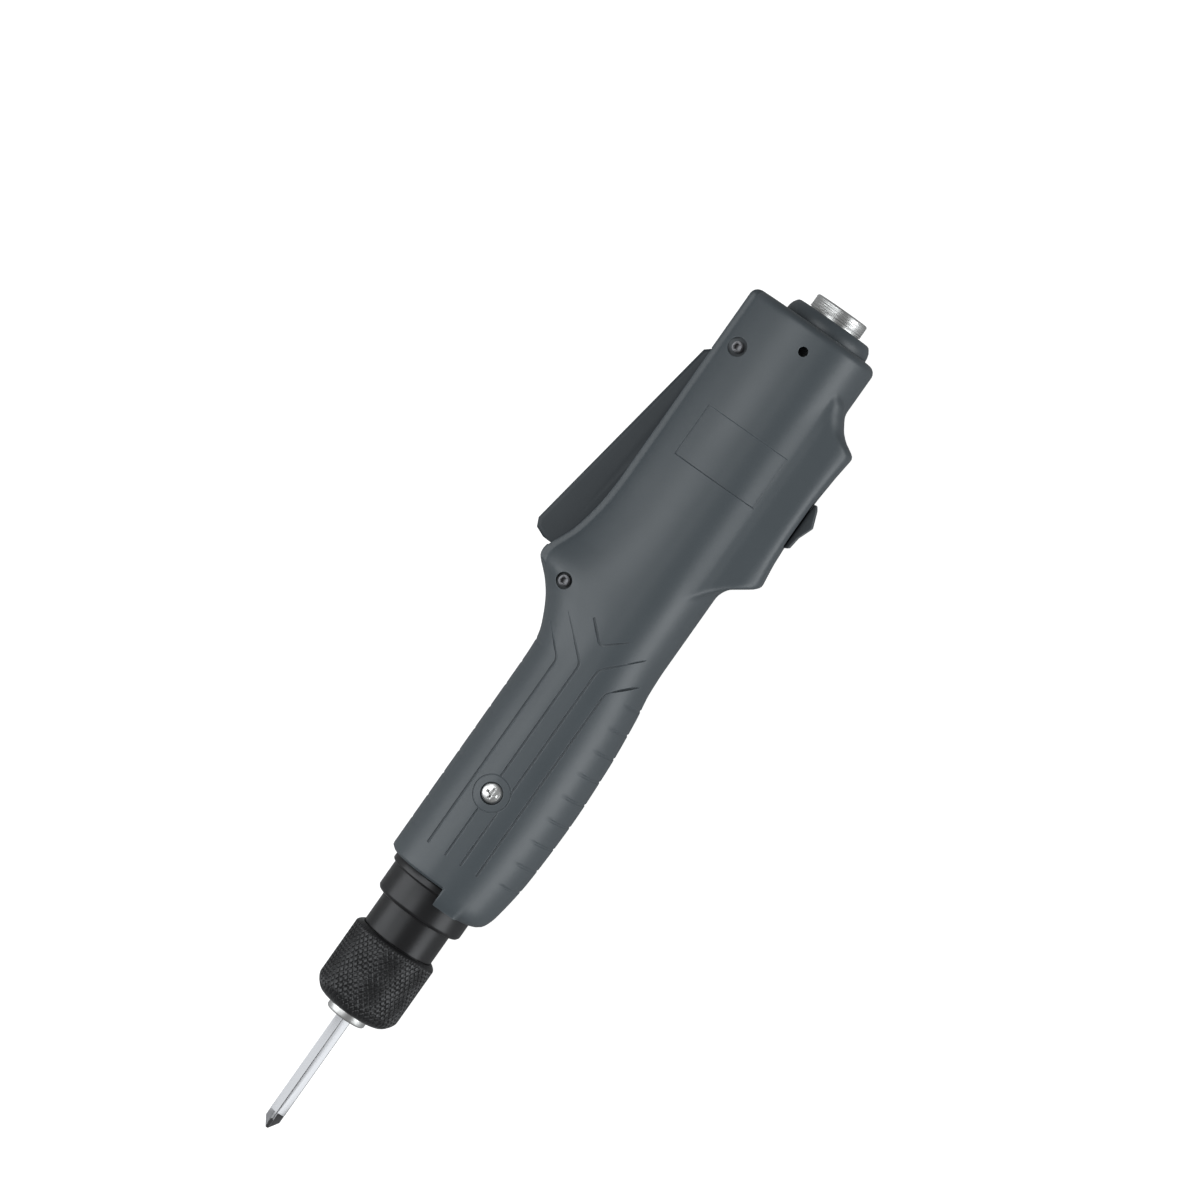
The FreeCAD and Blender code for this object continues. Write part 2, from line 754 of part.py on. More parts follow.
def bit():
    tip = -bit_reach
    shank = hexagon(bit_width, tip, bit_depth)
    corner = bit_width / math.sqrt(3)
    round_off = turned([
        (tip, 0),
        (tip, 0.35),
        (tip + bit_tip_length, corner + 0.05),
        (bit_depth - 0.6, corner + 0.05),
        (bit_depth, corner - 0.5),
        (bit_depth, 0),
    ])
    shape = shank.common(round_off)
    groove = turned([
        (ball_place - 1.1, corner + 1),
        (ball_place - 0.5, bit_width / 2 - 0.5),
        (ball_place + 0.5, bit_width / 2 - 0.5),
        (ball_place + 1.1, corner + 1),
    ])
    shape = shape.cut(groove)
    flute = block(tip - 1, tip + bit_tip_length + 1.6, 0.42, 4, 0.42, 4)
    for i in range(4):
        shape = shape.cut(spun(flute, 90 * i))
    return shape


def bit_sleeve():
    front = -sleeve_reach
    back = front + sleeve_length
    land = holder_radius + running_gap
    clear = sleeve_radius - 1.0
    profile = [
        (front, clear),
        (front, sleeve_radius - 0.5),
        (front + 0.5, sleeve_radius),
        (back, sleeve_radius),
        (back, clear),
        (ball_place + 1.2, clear),
        (ball_place + 1.2, land),
        (ball_place - 1.6, land),
        (ball_place - 1.6, clear),
    ]
    return turned(profile)


def sleeve_spring():
    start = ball_place + 1.2 + 0.1
    end = -sleeve_reach + sleeve_length - 0.3
    spring = coil_spring(holder_radius + 0.45, 0.5, 3, end - start)
    spring.translate(vec(start, 0, 0))
    return spring


def main_bearing():
    middle = (bearing_bore_radius + bearing_outer_radius) / 2
    centre = bearing_start + bearing_width / 2
    end = bearing_start + bearing_width
    track = Part.makeTorus(middle, bearing_ball_radius + 0.02, vec(centre, 0, 0), X_AXIS)
    inner = tube(middle - 0.7, bearing_bore_radius + 0.01, bearing_start, end).cut(track)
    outer = tube(bearing_outer_radius - 0.01, middle + 0.7, bearing_start, end).cut(track)
    ball = Part.makeSphere(bearing_ball_radius, vec(centre, middle, 0))
    return inner, outer, ring_of(ball, bearing_ball_count)


def involute_angle(radius, base):
    if radius <= base:
        return 0.0
    slope = math.sqrt(radius * radius - base * base) / base
    return slope - math.atan(slope)


def tooth_points(teeth, root, tip, thicker, phase):
    """Tooth outline of a gear with straight facets between the root, pitch and tip circles."""
    pitch = gear_module * teeth / 2
    base = pitch * math.cos(math.radians(pressure_angle))
    half = math.pi / (2 * teeth) + thicker / (2 * pitch)
    points = []
    for i in range(teeth):
        middle = phase + 2 * math.pi * i / teeth
        flank = []
        for radius in (root, pitch, tip):
            shift = involute_angle(radius, base) - involute_angle(pitch, base)
            flank.append((radius, half - shift))
        for radius, angle in flank:
            points.append((radius, middle - angle))
        for radius, angle in reversed(flank):
            points.append((radius, middle + angle))
    return [(r * math.cos(a), r * math.sin(a)) for r, a in points]


def gear_prism(teeth, root, tip, thicker, phase, start, end, y=0.0, z=0.0):
    outline = tooth_points(teeth, root, tip, thicker, phase)
    loop = [vec(start, y + a, z + b) for a, b in outline + outline[:1]]
    return Part.Face(Part.makePolygon(loop)).extrude(vec(end - start, 0, 0))


def outer_gear(teeth, phase, start, end, y=0.0, z=0.0):
    pitch = gear_module * teeth / 2
    root = pitch - gear_dedendum * gear_module
    tip = pitch + gear_addendum * gear_module
    return gear_prism(teeth, root, tip, -gear_backlash, phase, start, end, y, z)


def planet_places():
    places = []
    for i in range(planet_count):
        turn = 2 * math.pi * i / planet_count
        spin = turn + turn * sun_teeth / planet_teeth
        phase = spin + math.pi + math.pi / planet_teeth
        places.append((planet_circle * math.cos(turn), planet_circle * math.sin(turn), phase))
    return places


def planets(start):
    wheels = []
    for y, z, phase in planet_places():
        wheel = outer_gear(planet_teeth, phase, start, start + gear_width, y, z)
        wheels.append(wheel.cut(rod(planet_pin_radius + running_gap, start - 1, start + gear_width + 1, y, z)))
    return wheels


def planet_pins(start, end):
    return [rod(planet_pin_radius, start, end, y, z) for y, z, phase in planet_places()]


def pin_holes(start, end):
    return fused([rod(planet_pin_radius, start, end, y, z) for y, z, phase in planet_places()])


def gear_case():
    tip = ring_pitch - gear_addendum * gear_module
    root = ring_pitch + gear_dedendum * gear_module
    phase = ring_phase()
    teeth = gear_prism(ring_teeth, tip, root, gear_backlash, phase, tube_length - 1, adapter_start)
    case = rod(gear_case_radius, tube_length, motor_start).cut(teeth)
    case = case.cut(rod(bush_radius + 0.2, adapter_start - 1, motor_start + 1))
    side = cross_rod(grip_screw_shank, grip_screw_x, grip_screw_height, gear_case_radius - 5.2,
                     gear_case_radius + 1)
    return case.cut(side)


def ring_phase():
    """Turn of the ring gear's spaces so that a planet tooth stands in one at every planet."""
    planet_tooth = math.pi + math.pi / planet_teeth
    offset = -planet_tooth * planet_teeth / ring_teeth
    return offset


def output_carrier():
    disc = tube(clutch_radius, bearing_bore_radius - 1.6 + 0.02, drive_start, hub_start)
    hub = tube(bearing_bore_radius, bearing_bore_radius - 1.6 + 0.02, hub_start - 0.5, carrier_end)
    back = tube(carrier_radius, bearing_bore_radius - 1.6 + 0.02, carrier_start, carrier_end)
    body = fused([disc, hub, back]).cut(ball_pockets())
    return body.cut(pin_holes(carrier_start + 0.4, carrier_end + 1))


def middle_carrier():
    disc = rod(carrier_radius, middle_plate, middle_plate + carrier_plate)
    sun = outer_gear(sun_teeth, 0, front_stage + 0.3, middle_plate + 0.2)
    whole = disc.fuse(sun).removeSplitter()
    return whole.cut(pin_holes(middle_plate + 0.4, middle_plate + carrier_plate + 1))


def motor_pinion():
    sun = outer_gear(sun_teeth, 0, rear_stage, rear_stage + gear_width)
    return sun.cut(rod(shaft_radius, rear_stage - 1, rear_stage + gear_width + 1))


def motor_can():
    can = rod(motor_radius, motor_start, motor_end)
    can = can.cut(rod(motor_radius - can_wall, motor_start + 1.2, motor_end + 1))
    can = can.fuse(rod(bush_radius, motor_start - 2.0, motor_start + 2.0)).removeSplitter()
    return can.cut(rod(bush_radius - 0.8, motor_start - 3, motor_start + 3))


def motor_magnets():
    start = motor_start + 3.0
    outer = motor_radius - can_wall - 0.02
    ring = tube(outer, outer - magnet_thickness, start, start + magnet_length)
    gap = block(start - 1, start + magnet_length + 1, -3.0, 3.0, -20, 20)
    return ring.cut(gap)


def motor_bush(start):
    return tube(bush_radius - 0.82, shaft_radius + running_gap, start, start + bush_length)


def motor_core():
    start = motor_start + 6.0
    core = tube(core_radius, shaft_radius, start, start + core_length)
    slot = block(start - 1, start + core_length + 1, 3.6, core_radius + 1, -0.7, 0.7)
    pocket = block(start - 1, start + core_length + 1, 3.6, core_radius - 1.6, -1.9, 1.9)
    for cut in ring_of(slot.fuse(pocket), core_slots):
        core = core.cut(cut)
    return core


def motor_windings():
    start = motor_start + 6.0
    coil = block(start - 1.8, start + core_length + 1.8, 3.9, core_radius - 1.9, -1.6, 1.6)
    return ring_of(coil, core_slots)


def commutator():
    start = motor_start + 6.0 + core_length + 2.4
    drum = tube(commutator_radius, shaft_radius, start, start + commutator_length)
    slit = block(start - 1, start + commutator_length + 1, commutator_radius - 0.5, 9, -0.15, 0.15)
    for cut in ring_of(slit, core_slots):
        drum = drum.cut(cut)
    return drum


def motor_brushes():
    start = motor_start + 6.0 + core_length + 3.2
    brush = block(start, start + commutator_length - 1.6, commutator_radius + 0.1, motor_radius - can_wall - 0.2,
                  -brush_width / 2, brush_width / 2)
    return ring_of(brush, 2)


def end_bell():
    flange = rod(motor_radius, motor_end, motor_end + end_bell_flange)
    plug_start = motor_start + 6.0 + core_length + 2.8
    plug = tube(motor_radius - can_wall - 0.02, commutator_radius + 1.0, plug_start, motor_end + 0.5)
    body = flange.fuse(plug).removeSplitter()
    body = body.cut(rod(bush_radius - 0.82, motor_end - 3, motor_end + bush_length))
    for brush in motor_brushes():
        body = body.cut(brush)
    for z in (-7.0, 7.0):
        body = body.fuse(block(motor_end + end_bell_flange - 0.2, motor_end + end_bell_flange + 3.0,
                               -0.3, 0.3, z - 1.4, z + 1.4))
    return body


def lever():
    """Start lever: a hollow wedge with a flat nose, a rib over the plunger and a post over its spring."""
    top_front = (lever_front + 3.4, lever_height)
    slope = (lever_height - lever_rear_height) / (lever_back - top_front[0])
    outline = [
        (lever_front, lever_skirt),
        (lever_front + 0.1, lever_height - 3.6),
        (lever_front + 1.2, lever_height - 1.0),
        top_front,
        (lever_back - 0.6, lever_rear_height + 0.2),
        (lever_back + 0.6, lever_rear_height - 1.2),
        (lever_back + 0.6, pivot_height),
        (pivot_x, pivot_height - 2.6),
        (pivot_x - 6.0, pivot_height - 2.2),
    ]
    body = plate(outline, -lever_half_width, lever_half_width)
    inner_low = lever_skirt - 9
    hollow = [
        (lever_front + lever_wall, inner_low),
        (lever_front + lever_wall, lever_height - 4.6),
        (top_front[0] + 0.6, lever_height - lever_wall),
        (pivot_x - 8.0, lever_height - lever_wall - slope * (pivot_x - 8.0 - top_front[0])),
        (pivot_x - 8.0, inner_low),
    ]
    body = body.cut(plate(hollow, lever_wall - lever_half_width, lever_half_width - lever_wall))
    edges = [e for e in body.Edges if long_top_edge(e)]
    body = body.makeFillet(1.2, edges)
    inner_half = lever_half_width - lever_wall + 0.2
    ceiling = lever_height - slope * (plunger_x - top_front[0]) - 1.0
    rib = block(plunger_x - 0.9, plunger_x + 0.9, plunger_top + part_gap, ceiling, -inner_half, inner_half)
    post_x = lever_front + lever_spring_place
    post = upright_rod(lever_spring_radius + 1.2, post_x, 0, spring_top, lever_height - 4.2)
    spigot = upright_rod(lever_spring_radius - lever_spring_wire, post_x, 0, spring_top - 2.0, spring_top + 1)
    body = fused([body, rib, post, spigot])
    return body.cut(cross_rod(lever_pin_radius + running_gap, pivot_x, pivot_height, -20, 20))


def long_top_edge(edge):
    box = edge.BoundBox
    flat = box.ZLength < 0.01 and abs(abs(box.ZMax) - lever_half_width) < 0.01
    return flat and box.YMax > lever_rear_height - 0.5 and box.YMin > lever_skirt + 0.5


def lever_spring():
    spring = coil_spring(lever_spring_radius, lever_spring_wire, lever_spring_coils,
                         spring_top - 0.1 - (shelf_height + shelf_thickness + 0.1))
    spring.rotate(ORIGIN, Z_AXIS, 90)
    spring.translate(vec(lever_front + lever_spring_place, shelf_height + shelf_thickness + 0.1, 0))
    return spring


def start_switch():
    body = block(plunger_x - 6.4, plunger_x + 6.4, board_top, switch_top, -2.9, 2.9)
    body = body.cut(upright_rod(plunger_radius + running_gap, plunger_x, 0, switch_top - 4.2, switch_top + 1))
    holes = [cross_rod(0.8, plunger_x + side * 4.2, board_top + 2.0, -4, 4) for side in (-1, 1)]
    return body.cut(fused(holes))


def start_plunger():
    return upright_rod(plunger_radius, plunger_x, 0, switch_top - 1.2, plunger_top)


def direction_knob():
    low = guard_depth + part_gap
    grip = [
        (knob_front, -low),
        (knob_front + 0.6, -(low + knob_height)),
        (knob_front + 0.30 * knob_length, -(low + knob_height + 0.4)),
        (knob_front + 0.60 * knob_length, -(low + knob_height + knob_ridge)),
        (knob_front + 0.92 * knob_length, -(low + knob_height + 0.3)),
        (knob_front + knob_length, -(low + knob_height - 0.4)),
        (knob_front + knob_length, -low),
    ]
    pad = plate(grip, -knob_half_width, knob_half_width)
    neck = block(neck_start, neck_start + knob_neck_length, -(low + 0.2), -(low - wall - 0.6),
                 -knob_neck_half_width, knob_neck_half_width)
    foot = block(neck_start - 1.5, neck_start + knob_neck_length + 1.5, -(low - wall - 0.5), -(low - wall - 1.9),
                 -knob_half_width, knob_half_width)
    body = fused([pad, neck, foot])
    stem_x = neck_start + knob_neck_length / 2
    return body.cut(block(stem_x - 1.6, stem_x + 1.6, -(low - wall - 0.9), 0, -1.3, 1.3))


def slide_stem():
    stem_x = neck_start + knob_neck_length / 2
    return block(stem_x - 1.5, stem_x + 1.5, -(guard_depth - wall - 0.7), -(slide_switch_low - 0.8), -1.2, 1.2)


def slide_switch():
    stem_x = neck_start + knob_neck_length / 2
    body = block(stem_x - 7.0, stem_x + 7.0, -slide_switch_low, -slide_switch_high, -4.0, 4.0)
    slot = block(stem_x - 1.8, stem_x + 1.8 + knob_travel, -slide_switch_low - 1, -slide_switch_low + 1.2, -1.5, 1.5)
    return body.cut(slot)


def slide_board():
    stem_x = neck_start + knob_neck_length / 2
    low = -slide_switch_high
    board = block(stem_x - 11, stem_x + 11, low, low + 1.2, -10.0, 10.0)
    posts = [upright_rod(1.6, stem_x + side * 9.0, 0, low + 1.2, board_top - board_thickness) for side in (-1, 1)]
    return fused([board] + posts)


def circuit_board():
    board = block(board_front, board_back, board_top - board_thickness, board_top,
                  -board_half_width, board_half_width)
    corners = [upright_rod(1.2, x, z, 0, 9) for x in (board_front + 22, board_back - 3)
               for z in (-board_half_width + 2.5, board_half_width - 2.5)]
    return board.cut(fused(corners))


def board_components():
    top = board_top
    capacitor = upright_rod(3.2, board_back - 8.0, -5.4, top, top + 7.0)
    relay = block(board_front + 18.0, board_front + 28.0, top, top + 5.0, -10.2, -3.6)
    driver = block(board_front + 18.0, board_front + 24.0, top, top + 1.8, 4.0, 10.0)
    second = block(board_front + 34.0, board_front + 39.0, top, top + 1.4, -9.5, -4.5)
    header = block(board_back - 12.0, board_back - 9.0, top, top + 4.6, 1.0, 10.0)
    return [capacitor, relay, driver, second, header]


def rear_boss():
    start = housing_end
    profile = [
        (start - rear_wall - 1.6, connector_neck_radius + 0.02),
        (start - rear_wall - 1.6, rear_boss_tip_radius + 1.4),
        (start - rear_wall - rub_gap, rear_boss_tip_radius + 1.4),
        (start - rear_wall - rub_gap, rear_boss_tip_radius - 0.25),
        (start + rub_gap, rear_boss_tip_radius - 0.25),
        (start + rub_gap, rear_boss_radius),
        (start + 1.0, rear_boss_radius - 0.1),
        (start + 1.9, rear_boss_radius - 0.7),
        (start + rear_boss_length, rear_boss_tip_radius - 0.3),
        (start + rear_boss_length, connector_neck_radius + 0.02),
    ]
    return turned(profile)


def connector_shell():
    end = connector_end
    start = end - connector_reach - connector_depth
    flange_end = housing_end - rear_wall - 1.6
    barrel_start = housing_end + rear_boss_length + part_gap + thread_gap
    profile = [
        (start, connector_radius - connector_wall),
        (start, connector_flange_radius),
        (flange_end, connector_flange_radius),
        (flange_end, connector_neck_radius),
        (barrel_start, connector_neck_radius),
        (barrel_start, connector_radius),
        (end - 0.4, connector_radius),
        (end, connector_radius - 0.4),
        (end, connector_radius - connector_wall),
    ]
    shell = turned(profile)
    return shell.cut(block(end - 2.6, end + 1, -0.9, 0.9, connector_radius - 0.7, 12))


def connector_insert():
    end = connector_end
    start = end - connector_reach - connector_depth
    core = rod(connector_radius - connector_wall - 0.02, start, end - 2.4)
    for hole in contact_rods(start - 1, end):
        core = core.cut(hole)
    return core


def contact_rods(start, end):
    rods = []
    for i in range(pin_count):
        angle = math.radians(40 + 280.0 * i / (pin_count - 1))
        rods.append(rod(contact_radius, start, end, 3.6 * math.cos(angle), 3.6 * math.sin(angle)))
    return rods


def contact_pins():
    end = connector_end
    start = end - connector_reach - connector_depth
    return contact_rods(start - 0.0, end - 0.6)


def socket_screw(x, y, side):
    head_top = side - 1.2
    screw = cross_rod(case_screw_head, x, y, head_top - 1.8, head_top)
    screw = screw.fuse(cross_rod(case_screw_shank, x, y, -6.6, head_top - 1.7)).removeSplitter()
    corners = []
    for i in range(7):
        angle = math.radians(60 * i)
        corners.append(vec(x + 0.75 * math.cos(angle), y + 0.75 * math.sin(angle), head_top - 0.9))
    return screw.cut(Part.Face(Part.makePolygon(corners)).extrude(vec(0, 0, 2)))


def case_screws():
    return [socket_screw(x, y, side_at(x, y)) for x, y, bore in screw_places()]


def grip_screw():
    side = side_at(grip_screw_x, grip_screw_height)
    under = side - 1.3
    head = cross_rod(grip_screw_head, grip_screw_x, grip_screw_height, under, under + 1.3)
    crown = under + 1.3 - grip_screw_crown
    dome = Part.makeSphere(grip_screw_crown, vec(grip_screw_x, grip_screw_height, crown))
    shank = cross_rod(grip_screw_shank, grip_screw_x, grip_screw_height, gear_case_radius - 5.0, under + 0.2)
    screw = fused([head.common(dome), shank])
    for sx, sy in ((1.5, 0.35), (0.35, 1.5)):
        screw = screw.cut(block(grip_screw_x - sx, grip_screw_x + sx, grip_screw_height - sy,
                                grip_screw_height + sy, under + 0.4, side + 4))
    return screw


outside = housing_outside()

os.makedirs("parts", exist_ok=True)
shell_left, shell_right = shell_pair()
inner_race, outer_race, bearing_balls = main_bearing()
save("shell_left", [shell_left])
save("shell_right", [shell_right])
save("nose_tube", [nose_tube()])
save("torque_ring", [torque_ring()])
save("spring_seat", [spring_seat()])
save("torque_spring", [torque_spring()])
save("clutch_cam", [clutch_cam()])
save("clutch_balls", clutch_balls())
save("spindle", [spindle()])
save("sleeve_clip", [sleeve_clip()])
save("bit", [bit()])
save("bit_sleeve", [bit_sleeve()])
save("sleeve_spring", [sleeve_spring()])
save("bit_ball", [Part.makeSphere(ball_radius, vec(ball_place, holder_radius - ball_radius, 0))])
save("bearing_inner_race", [inner_race])
save("bearing_outer_race", [outer_race])
save("bearing_balls", bearing_balls)
save("gear_case", [gear_case()])
save("output_carrier", [output_carrier()])
save("output_planet_pins", planet_pins(carrier_start + 0.4, front_stage + gear_width + 0.2))
save("middle_carrier", [middle_carrier()])
save("middle_planet_pins", planet_pins(middle_plate + 0.4, rear_stage + gear_width + 0.2))
for number, wheel in enumerate(planets(front_stage + 0.2), 1):
    save("output_planet_" + str(number), [wheel])
for number, wheel in enumerate(planets(rear_stage), 1):
    save("motor_planet_" + str(number), [wheel])
save("motor_pinion", [motor_pinion()])
save("motor_shaft", [rod(shaft_radius, rear_stage + 0.3, motor_end + bush_length)])
save("motor_can", [motor_can()])
save("motor_magnets", [motor_magnets()])
save("motor_front_bush", [motor_bush(motor_start - 1.2)])
save("motor_rear_bush", [motor_bush(motor_end)])
save("motor_core", [motor_core()])
save("motor_windings", motor_windings())
save("commutator", [commutator()])
save("motor_brushes", motor_brushes())
save("motor_end_bell", [end_bell()])
save("lever", [lever()])
save("lever_pin", [cross_rod(lever_pin_radius, pivot_x, pivot_height, -(lever_half_width + 4), lever_half_width + 4)])
save("lever_spring", [lever_spring()])
save("start_switch", [start_switch()])
save("start_plunger", [start_plunger()])
save("direction_knob", [direction_knob()])
save("slide_stem", [slide_stem()])
save("slide_switch", [slide_switch()])
save("slide_board", [slide_board()])
save("circuit_board", [circuit_board()])
save("board_components", board_components())
save("rear_boss", [rear_boss()])
save("connector_shell", [connector_shell()])
save("connector_insert", [connector_insert()])
save("contact_pins", contact_pins())
save("case_screws", case_screws())
save("grip_screw", [grip_screw()])
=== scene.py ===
import math

import bmesh
import bpy
import numpy as np
from mathutils import Matrix, Vector


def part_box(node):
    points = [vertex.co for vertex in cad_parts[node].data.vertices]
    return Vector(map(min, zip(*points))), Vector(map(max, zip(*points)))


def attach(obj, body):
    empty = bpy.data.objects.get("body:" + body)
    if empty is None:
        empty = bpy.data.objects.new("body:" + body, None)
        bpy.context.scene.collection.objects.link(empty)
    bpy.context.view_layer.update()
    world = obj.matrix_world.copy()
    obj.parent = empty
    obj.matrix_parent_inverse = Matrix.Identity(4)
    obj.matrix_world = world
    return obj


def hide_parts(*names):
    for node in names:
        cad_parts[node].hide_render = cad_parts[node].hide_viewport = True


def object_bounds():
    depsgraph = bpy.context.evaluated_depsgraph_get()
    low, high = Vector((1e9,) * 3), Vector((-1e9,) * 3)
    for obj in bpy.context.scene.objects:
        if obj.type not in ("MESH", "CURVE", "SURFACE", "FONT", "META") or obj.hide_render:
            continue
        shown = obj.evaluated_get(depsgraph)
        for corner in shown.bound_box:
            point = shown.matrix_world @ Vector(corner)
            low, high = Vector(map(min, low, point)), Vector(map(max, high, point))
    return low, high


bl_info = {
    "name": "Electric torque screwdriver",
    "version": (1, 0, 0),
    "blender": (4, 5, 0),
    "location": "View3D > Sidebar > Screwdriver",
    "description": "Builds the housing, controls, nose and connector of an electric torque screwdriver",
    "category": "Object",
}

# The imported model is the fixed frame. X runs from the nose face to the connector, Y points to the lever
# and Z out of the left side. Shapes below are written in millimetres and stored in metres.
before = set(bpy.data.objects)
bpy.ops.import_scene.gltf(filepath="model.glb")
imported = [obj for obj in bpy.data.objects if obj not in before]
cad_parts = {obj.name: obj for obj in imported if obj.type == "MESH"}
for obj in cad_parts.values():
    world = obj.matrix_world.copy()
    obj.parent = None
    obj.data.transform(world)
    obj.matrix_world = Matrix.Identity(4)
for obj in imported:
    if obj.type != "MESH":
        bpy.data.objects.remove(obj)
CAD_LOW, CAD_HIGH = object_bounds()
MM = 0.001
SAME_POINT = 1e-7
MATERIALS = {}
SHELL_LOW, SHELL_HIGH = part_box("shell_left")
RING_LOW, RING_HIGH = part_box("torque_ring")


# Property groups

class HousingSizes(bpy.types.PropertyGroup):
    wall: bpy.props.FloatProperty(
        name="Wall", description="Thickness of the moulded wall", default=0.0022, unit="LENGTH")
    groove_width: bpy.props.FloatProperty(
        name="Groove width", description="Width of the grip grooves", default=0.0012, unit="LENGTH")
    groove_depth: bpy.props.FloatProperty(
        name="Groove depth", description="Depth of the grip grooves under the skin", default=0.00028,
        unit="LENGTH")
    short_depth: bpy.props.FloatProperty(
        name="Short groove depth", description="Depth of the short side grooves", default=0.0002,
        unit="LENGTH")
    groove_pitch: bpy.props.FloatProperty(
        name="Groove pitch", description="Distance between the short side grooves", default=0.0067,
        unit="LENGTH")
    short_grooves: bpy.props.IntProperty(
        name="Short grooves", description="Number of short grooves along each side of the grip", default=9)
    label_depth: bpy.props.FloatProperty(
        name="Label recess", description="Depth of the recess for the rating label", default=0.0003,
        unit="LENGTH")
    seam: bpy.props.FloatProperty(
        name="Seam", description="Gap between the two halves", default=0.00008, unit="LENGTH")
    step: bpy.props.FloatProperty(
        name="Mesh step", description="Spacing of the housing's mesh along its length", default=0.0006,
        unit="LENGTH")
    around: bpy.props.IntProperty(
        name="Mesh points around", description="Points round one section of the housing", default=180)


class RingSizes(bpy.types.PropertyGroup):
    radius: bpy.props.FloatProperty(
        name="Radius", description="Outer radius of the torque ring", default=RING_HIGH.y, unit="LENGTH")
    length: bpy.props.FloatProperty(
        name="Length", description="Length of the torque ring", default=RING_HIGH.x - RING_LOW.x,
        unit="LENGTH")
    knurl_count: bpy.props.IntProperty(
        name="Knurl lines", description="Knurl lines of one hand around the ring", default=44)
    knurl_depth: bpy.props.FloatProperty(
        name="Knurl depth", description="Depth of the diamond knurl", default=0.00036, unit="LENGTH")
    knurl_angle: bpy.props.FloatProperty(
        name="Knurl angle", description="Angle of the knurl lines to the spindle axis", default=0.66,
        subtype="ANGLE")


class EdgeSizes(bpy.types.PropertyGroup):
    lever: bpy.props.FloatProperty(
        name="Lever edge", description="Rounding of the start lever's edges", default=0.0006, unit="LENGTH")
    lever_front: bpy.props.FloatProperty(
        name="Lever front", description="Rounding of the lever's front corners", default=0.0011,
        unit="LENGTH")
    knob: bpy.props.FloatProperty(
        name="Knob edge", description="Rounding of the direction knob's edges", default=0.0003, unit="LENGTH")
    bit: bpy.props.FloatProperty(
        name="Bit edge", description="Rounding of the bit's edges", default=0.00022, unit="LENGTH")


class FinishColours(bpy.types.PropertyGroup):
    housing: bpy.props.FloatVectorProperty(
        name="Housing", description="Slate grey moulded plastic", default=(0.050, 0.060, 0.067),
        subtype="COLOR", size=3, min=0, max=1)
    lever: bpy.props.FloatVectorProperty(
        name="Lever", description="Dark grey lever plastic", default=(0.015, 0.021, 0.026),
        subtype="COLOR", size=3, min=0, max=1)
    knob: bpy.props.FloatVectorProperty(
        name="Knob", description="Dark grey knob plastic", default=(0.040, 0.047, 0.052),
        subtype="COLOR", size=3, min=0, max=1)
    anodised: bpy.props.FloatVectorProperty(
        name="Anodised aluminium", description="Black anodised nose and ring", default=(0.020, 0.020, 0.021),
        subtype="COLOR", size=3, min=0, max=1)
    plated: bpy.props.FloatVectorProperty(
        name="Plated metal", description="Nickel plate on the sleeve and connector",
        default=(0.66, 0.66, 0.65), subtype="COLOR", size=3, min=0, max=1)
    steel: bpy.props.FloatVectorProperty(
        name="Bit steel", description="Bright steel of the bit", default=(0.22, 0.22, 0.226),
        subtype="COLOR", size=3, min=0, max=1)


class StageSettings(bpy.types.PropertyGroup):
    roll: bpy.props.FloatProperty(
        name="Tool angle", description="Angle of the spindle axis above the picture's horizontal",
        default=math.radians(54.8), subtype="ANGLE")
    rear_turn: bpy.props.FloatProperty(
        name="Rear turn", description="How far the rear end is turned to the camera",
        default=math.radians(3.2), subtype="ANGLE")
    guard_turn: bpy.props.FloatProperty(
        name="Guard turn", description="How far the guard is turned to the camera",
        default=math.radians(3.1), subtype="ANGLE")
    distance: bpy.props.FloatProperty(
        name="Camera distance", description="Camera to the tool", default=1.13, unit="LENGTH")
    scale: bpy.props.FloatProperty(
        name="Picture scale", description="Pixels of a 1200 pixel picture per metre at the tool",
        default=4064.0)
    floor_glow: bpy.props.FloatProperty(
        name="Floor glow", description="How far the floor is lifted to white in the picture", default=0.9)
    sky: bpy.props.FloatProperty(
        name="Surroundings", description="Light of the room around the stage", default=0.2)
    target: bpy.props.FloatVectorProperty(
        name="Target", description="Point at the centre of the picture", default=(0.1186, 0.0078, 0.0),
        subtype="TRANSLATION", size=3)


# Modelling helpers

def clear_selection():
    if bpy.context.mode != "OBJECT":
        bpy.ops.object.mode_set(mode="OBJECT")
    bpy.ops.object.select_all(action="DESELECT")


def pick(piece):
    clear_selection()
    piece.select_set(True)
    bpy.context.view_layer.objects.active = piece


def smooth_line(points):
    """Value along X that passes smoothly through the given (place, value) points without overshoot."""
    xs = np.array([p[0] for p in points], float)
    ys = np.array([p[1] for p in points], float)
    rise = np.diff(ys) / np.diff(xs)
    slope = np.zeros(len(xs))
    slope[0], slope[-1] = rise[0], rise[-1]
    for i in range(1, len(xs) - 1):
        if rise[i - 1] * rise[i] > 0:
            slope[i] = 2 * rise[i - 1] * rise[i] / (rise[i - 1] + rise[i])

    def value(x):
        x = np.clip(x, xs[0], xs[-1])
        i = np.clip(np.searchsorted(xs, x) - 1, 0, len(xs) - 2)
        run = xs[i + 1] - xs[i]
        t = (x - xs[i]) / run
        low = ys[i] * (1 + 2 * t) * (1 - t) ** 2 + slope[i] * run * t * (1 - t) ** 2
        return low + ys[i + 1] * t * t * (3 - 2 * t) + slope[i + 1] * run * t * t * (t - 1)

    return value


def straight_line(points, radius=0.0):
    """Value along X on straight runs between the points, with the corners eased by a radius."""
    xs = np.array([p[0] for p in points], float)
    ys = np.array([p[1] for p in points], float)

    def value(x):
        x = np.asarray(x, float)
        shifts = np.linspace(-radius, radius, 9)
        return sum(np.interp(x + shift, xs, ys) for shift in shifts) / len(shifts)

    return value


def named(name):
    """The object that has just been made, under its name."""
    piece = bpy.context.object
    piece.name = piece.data.name = name
    return piece


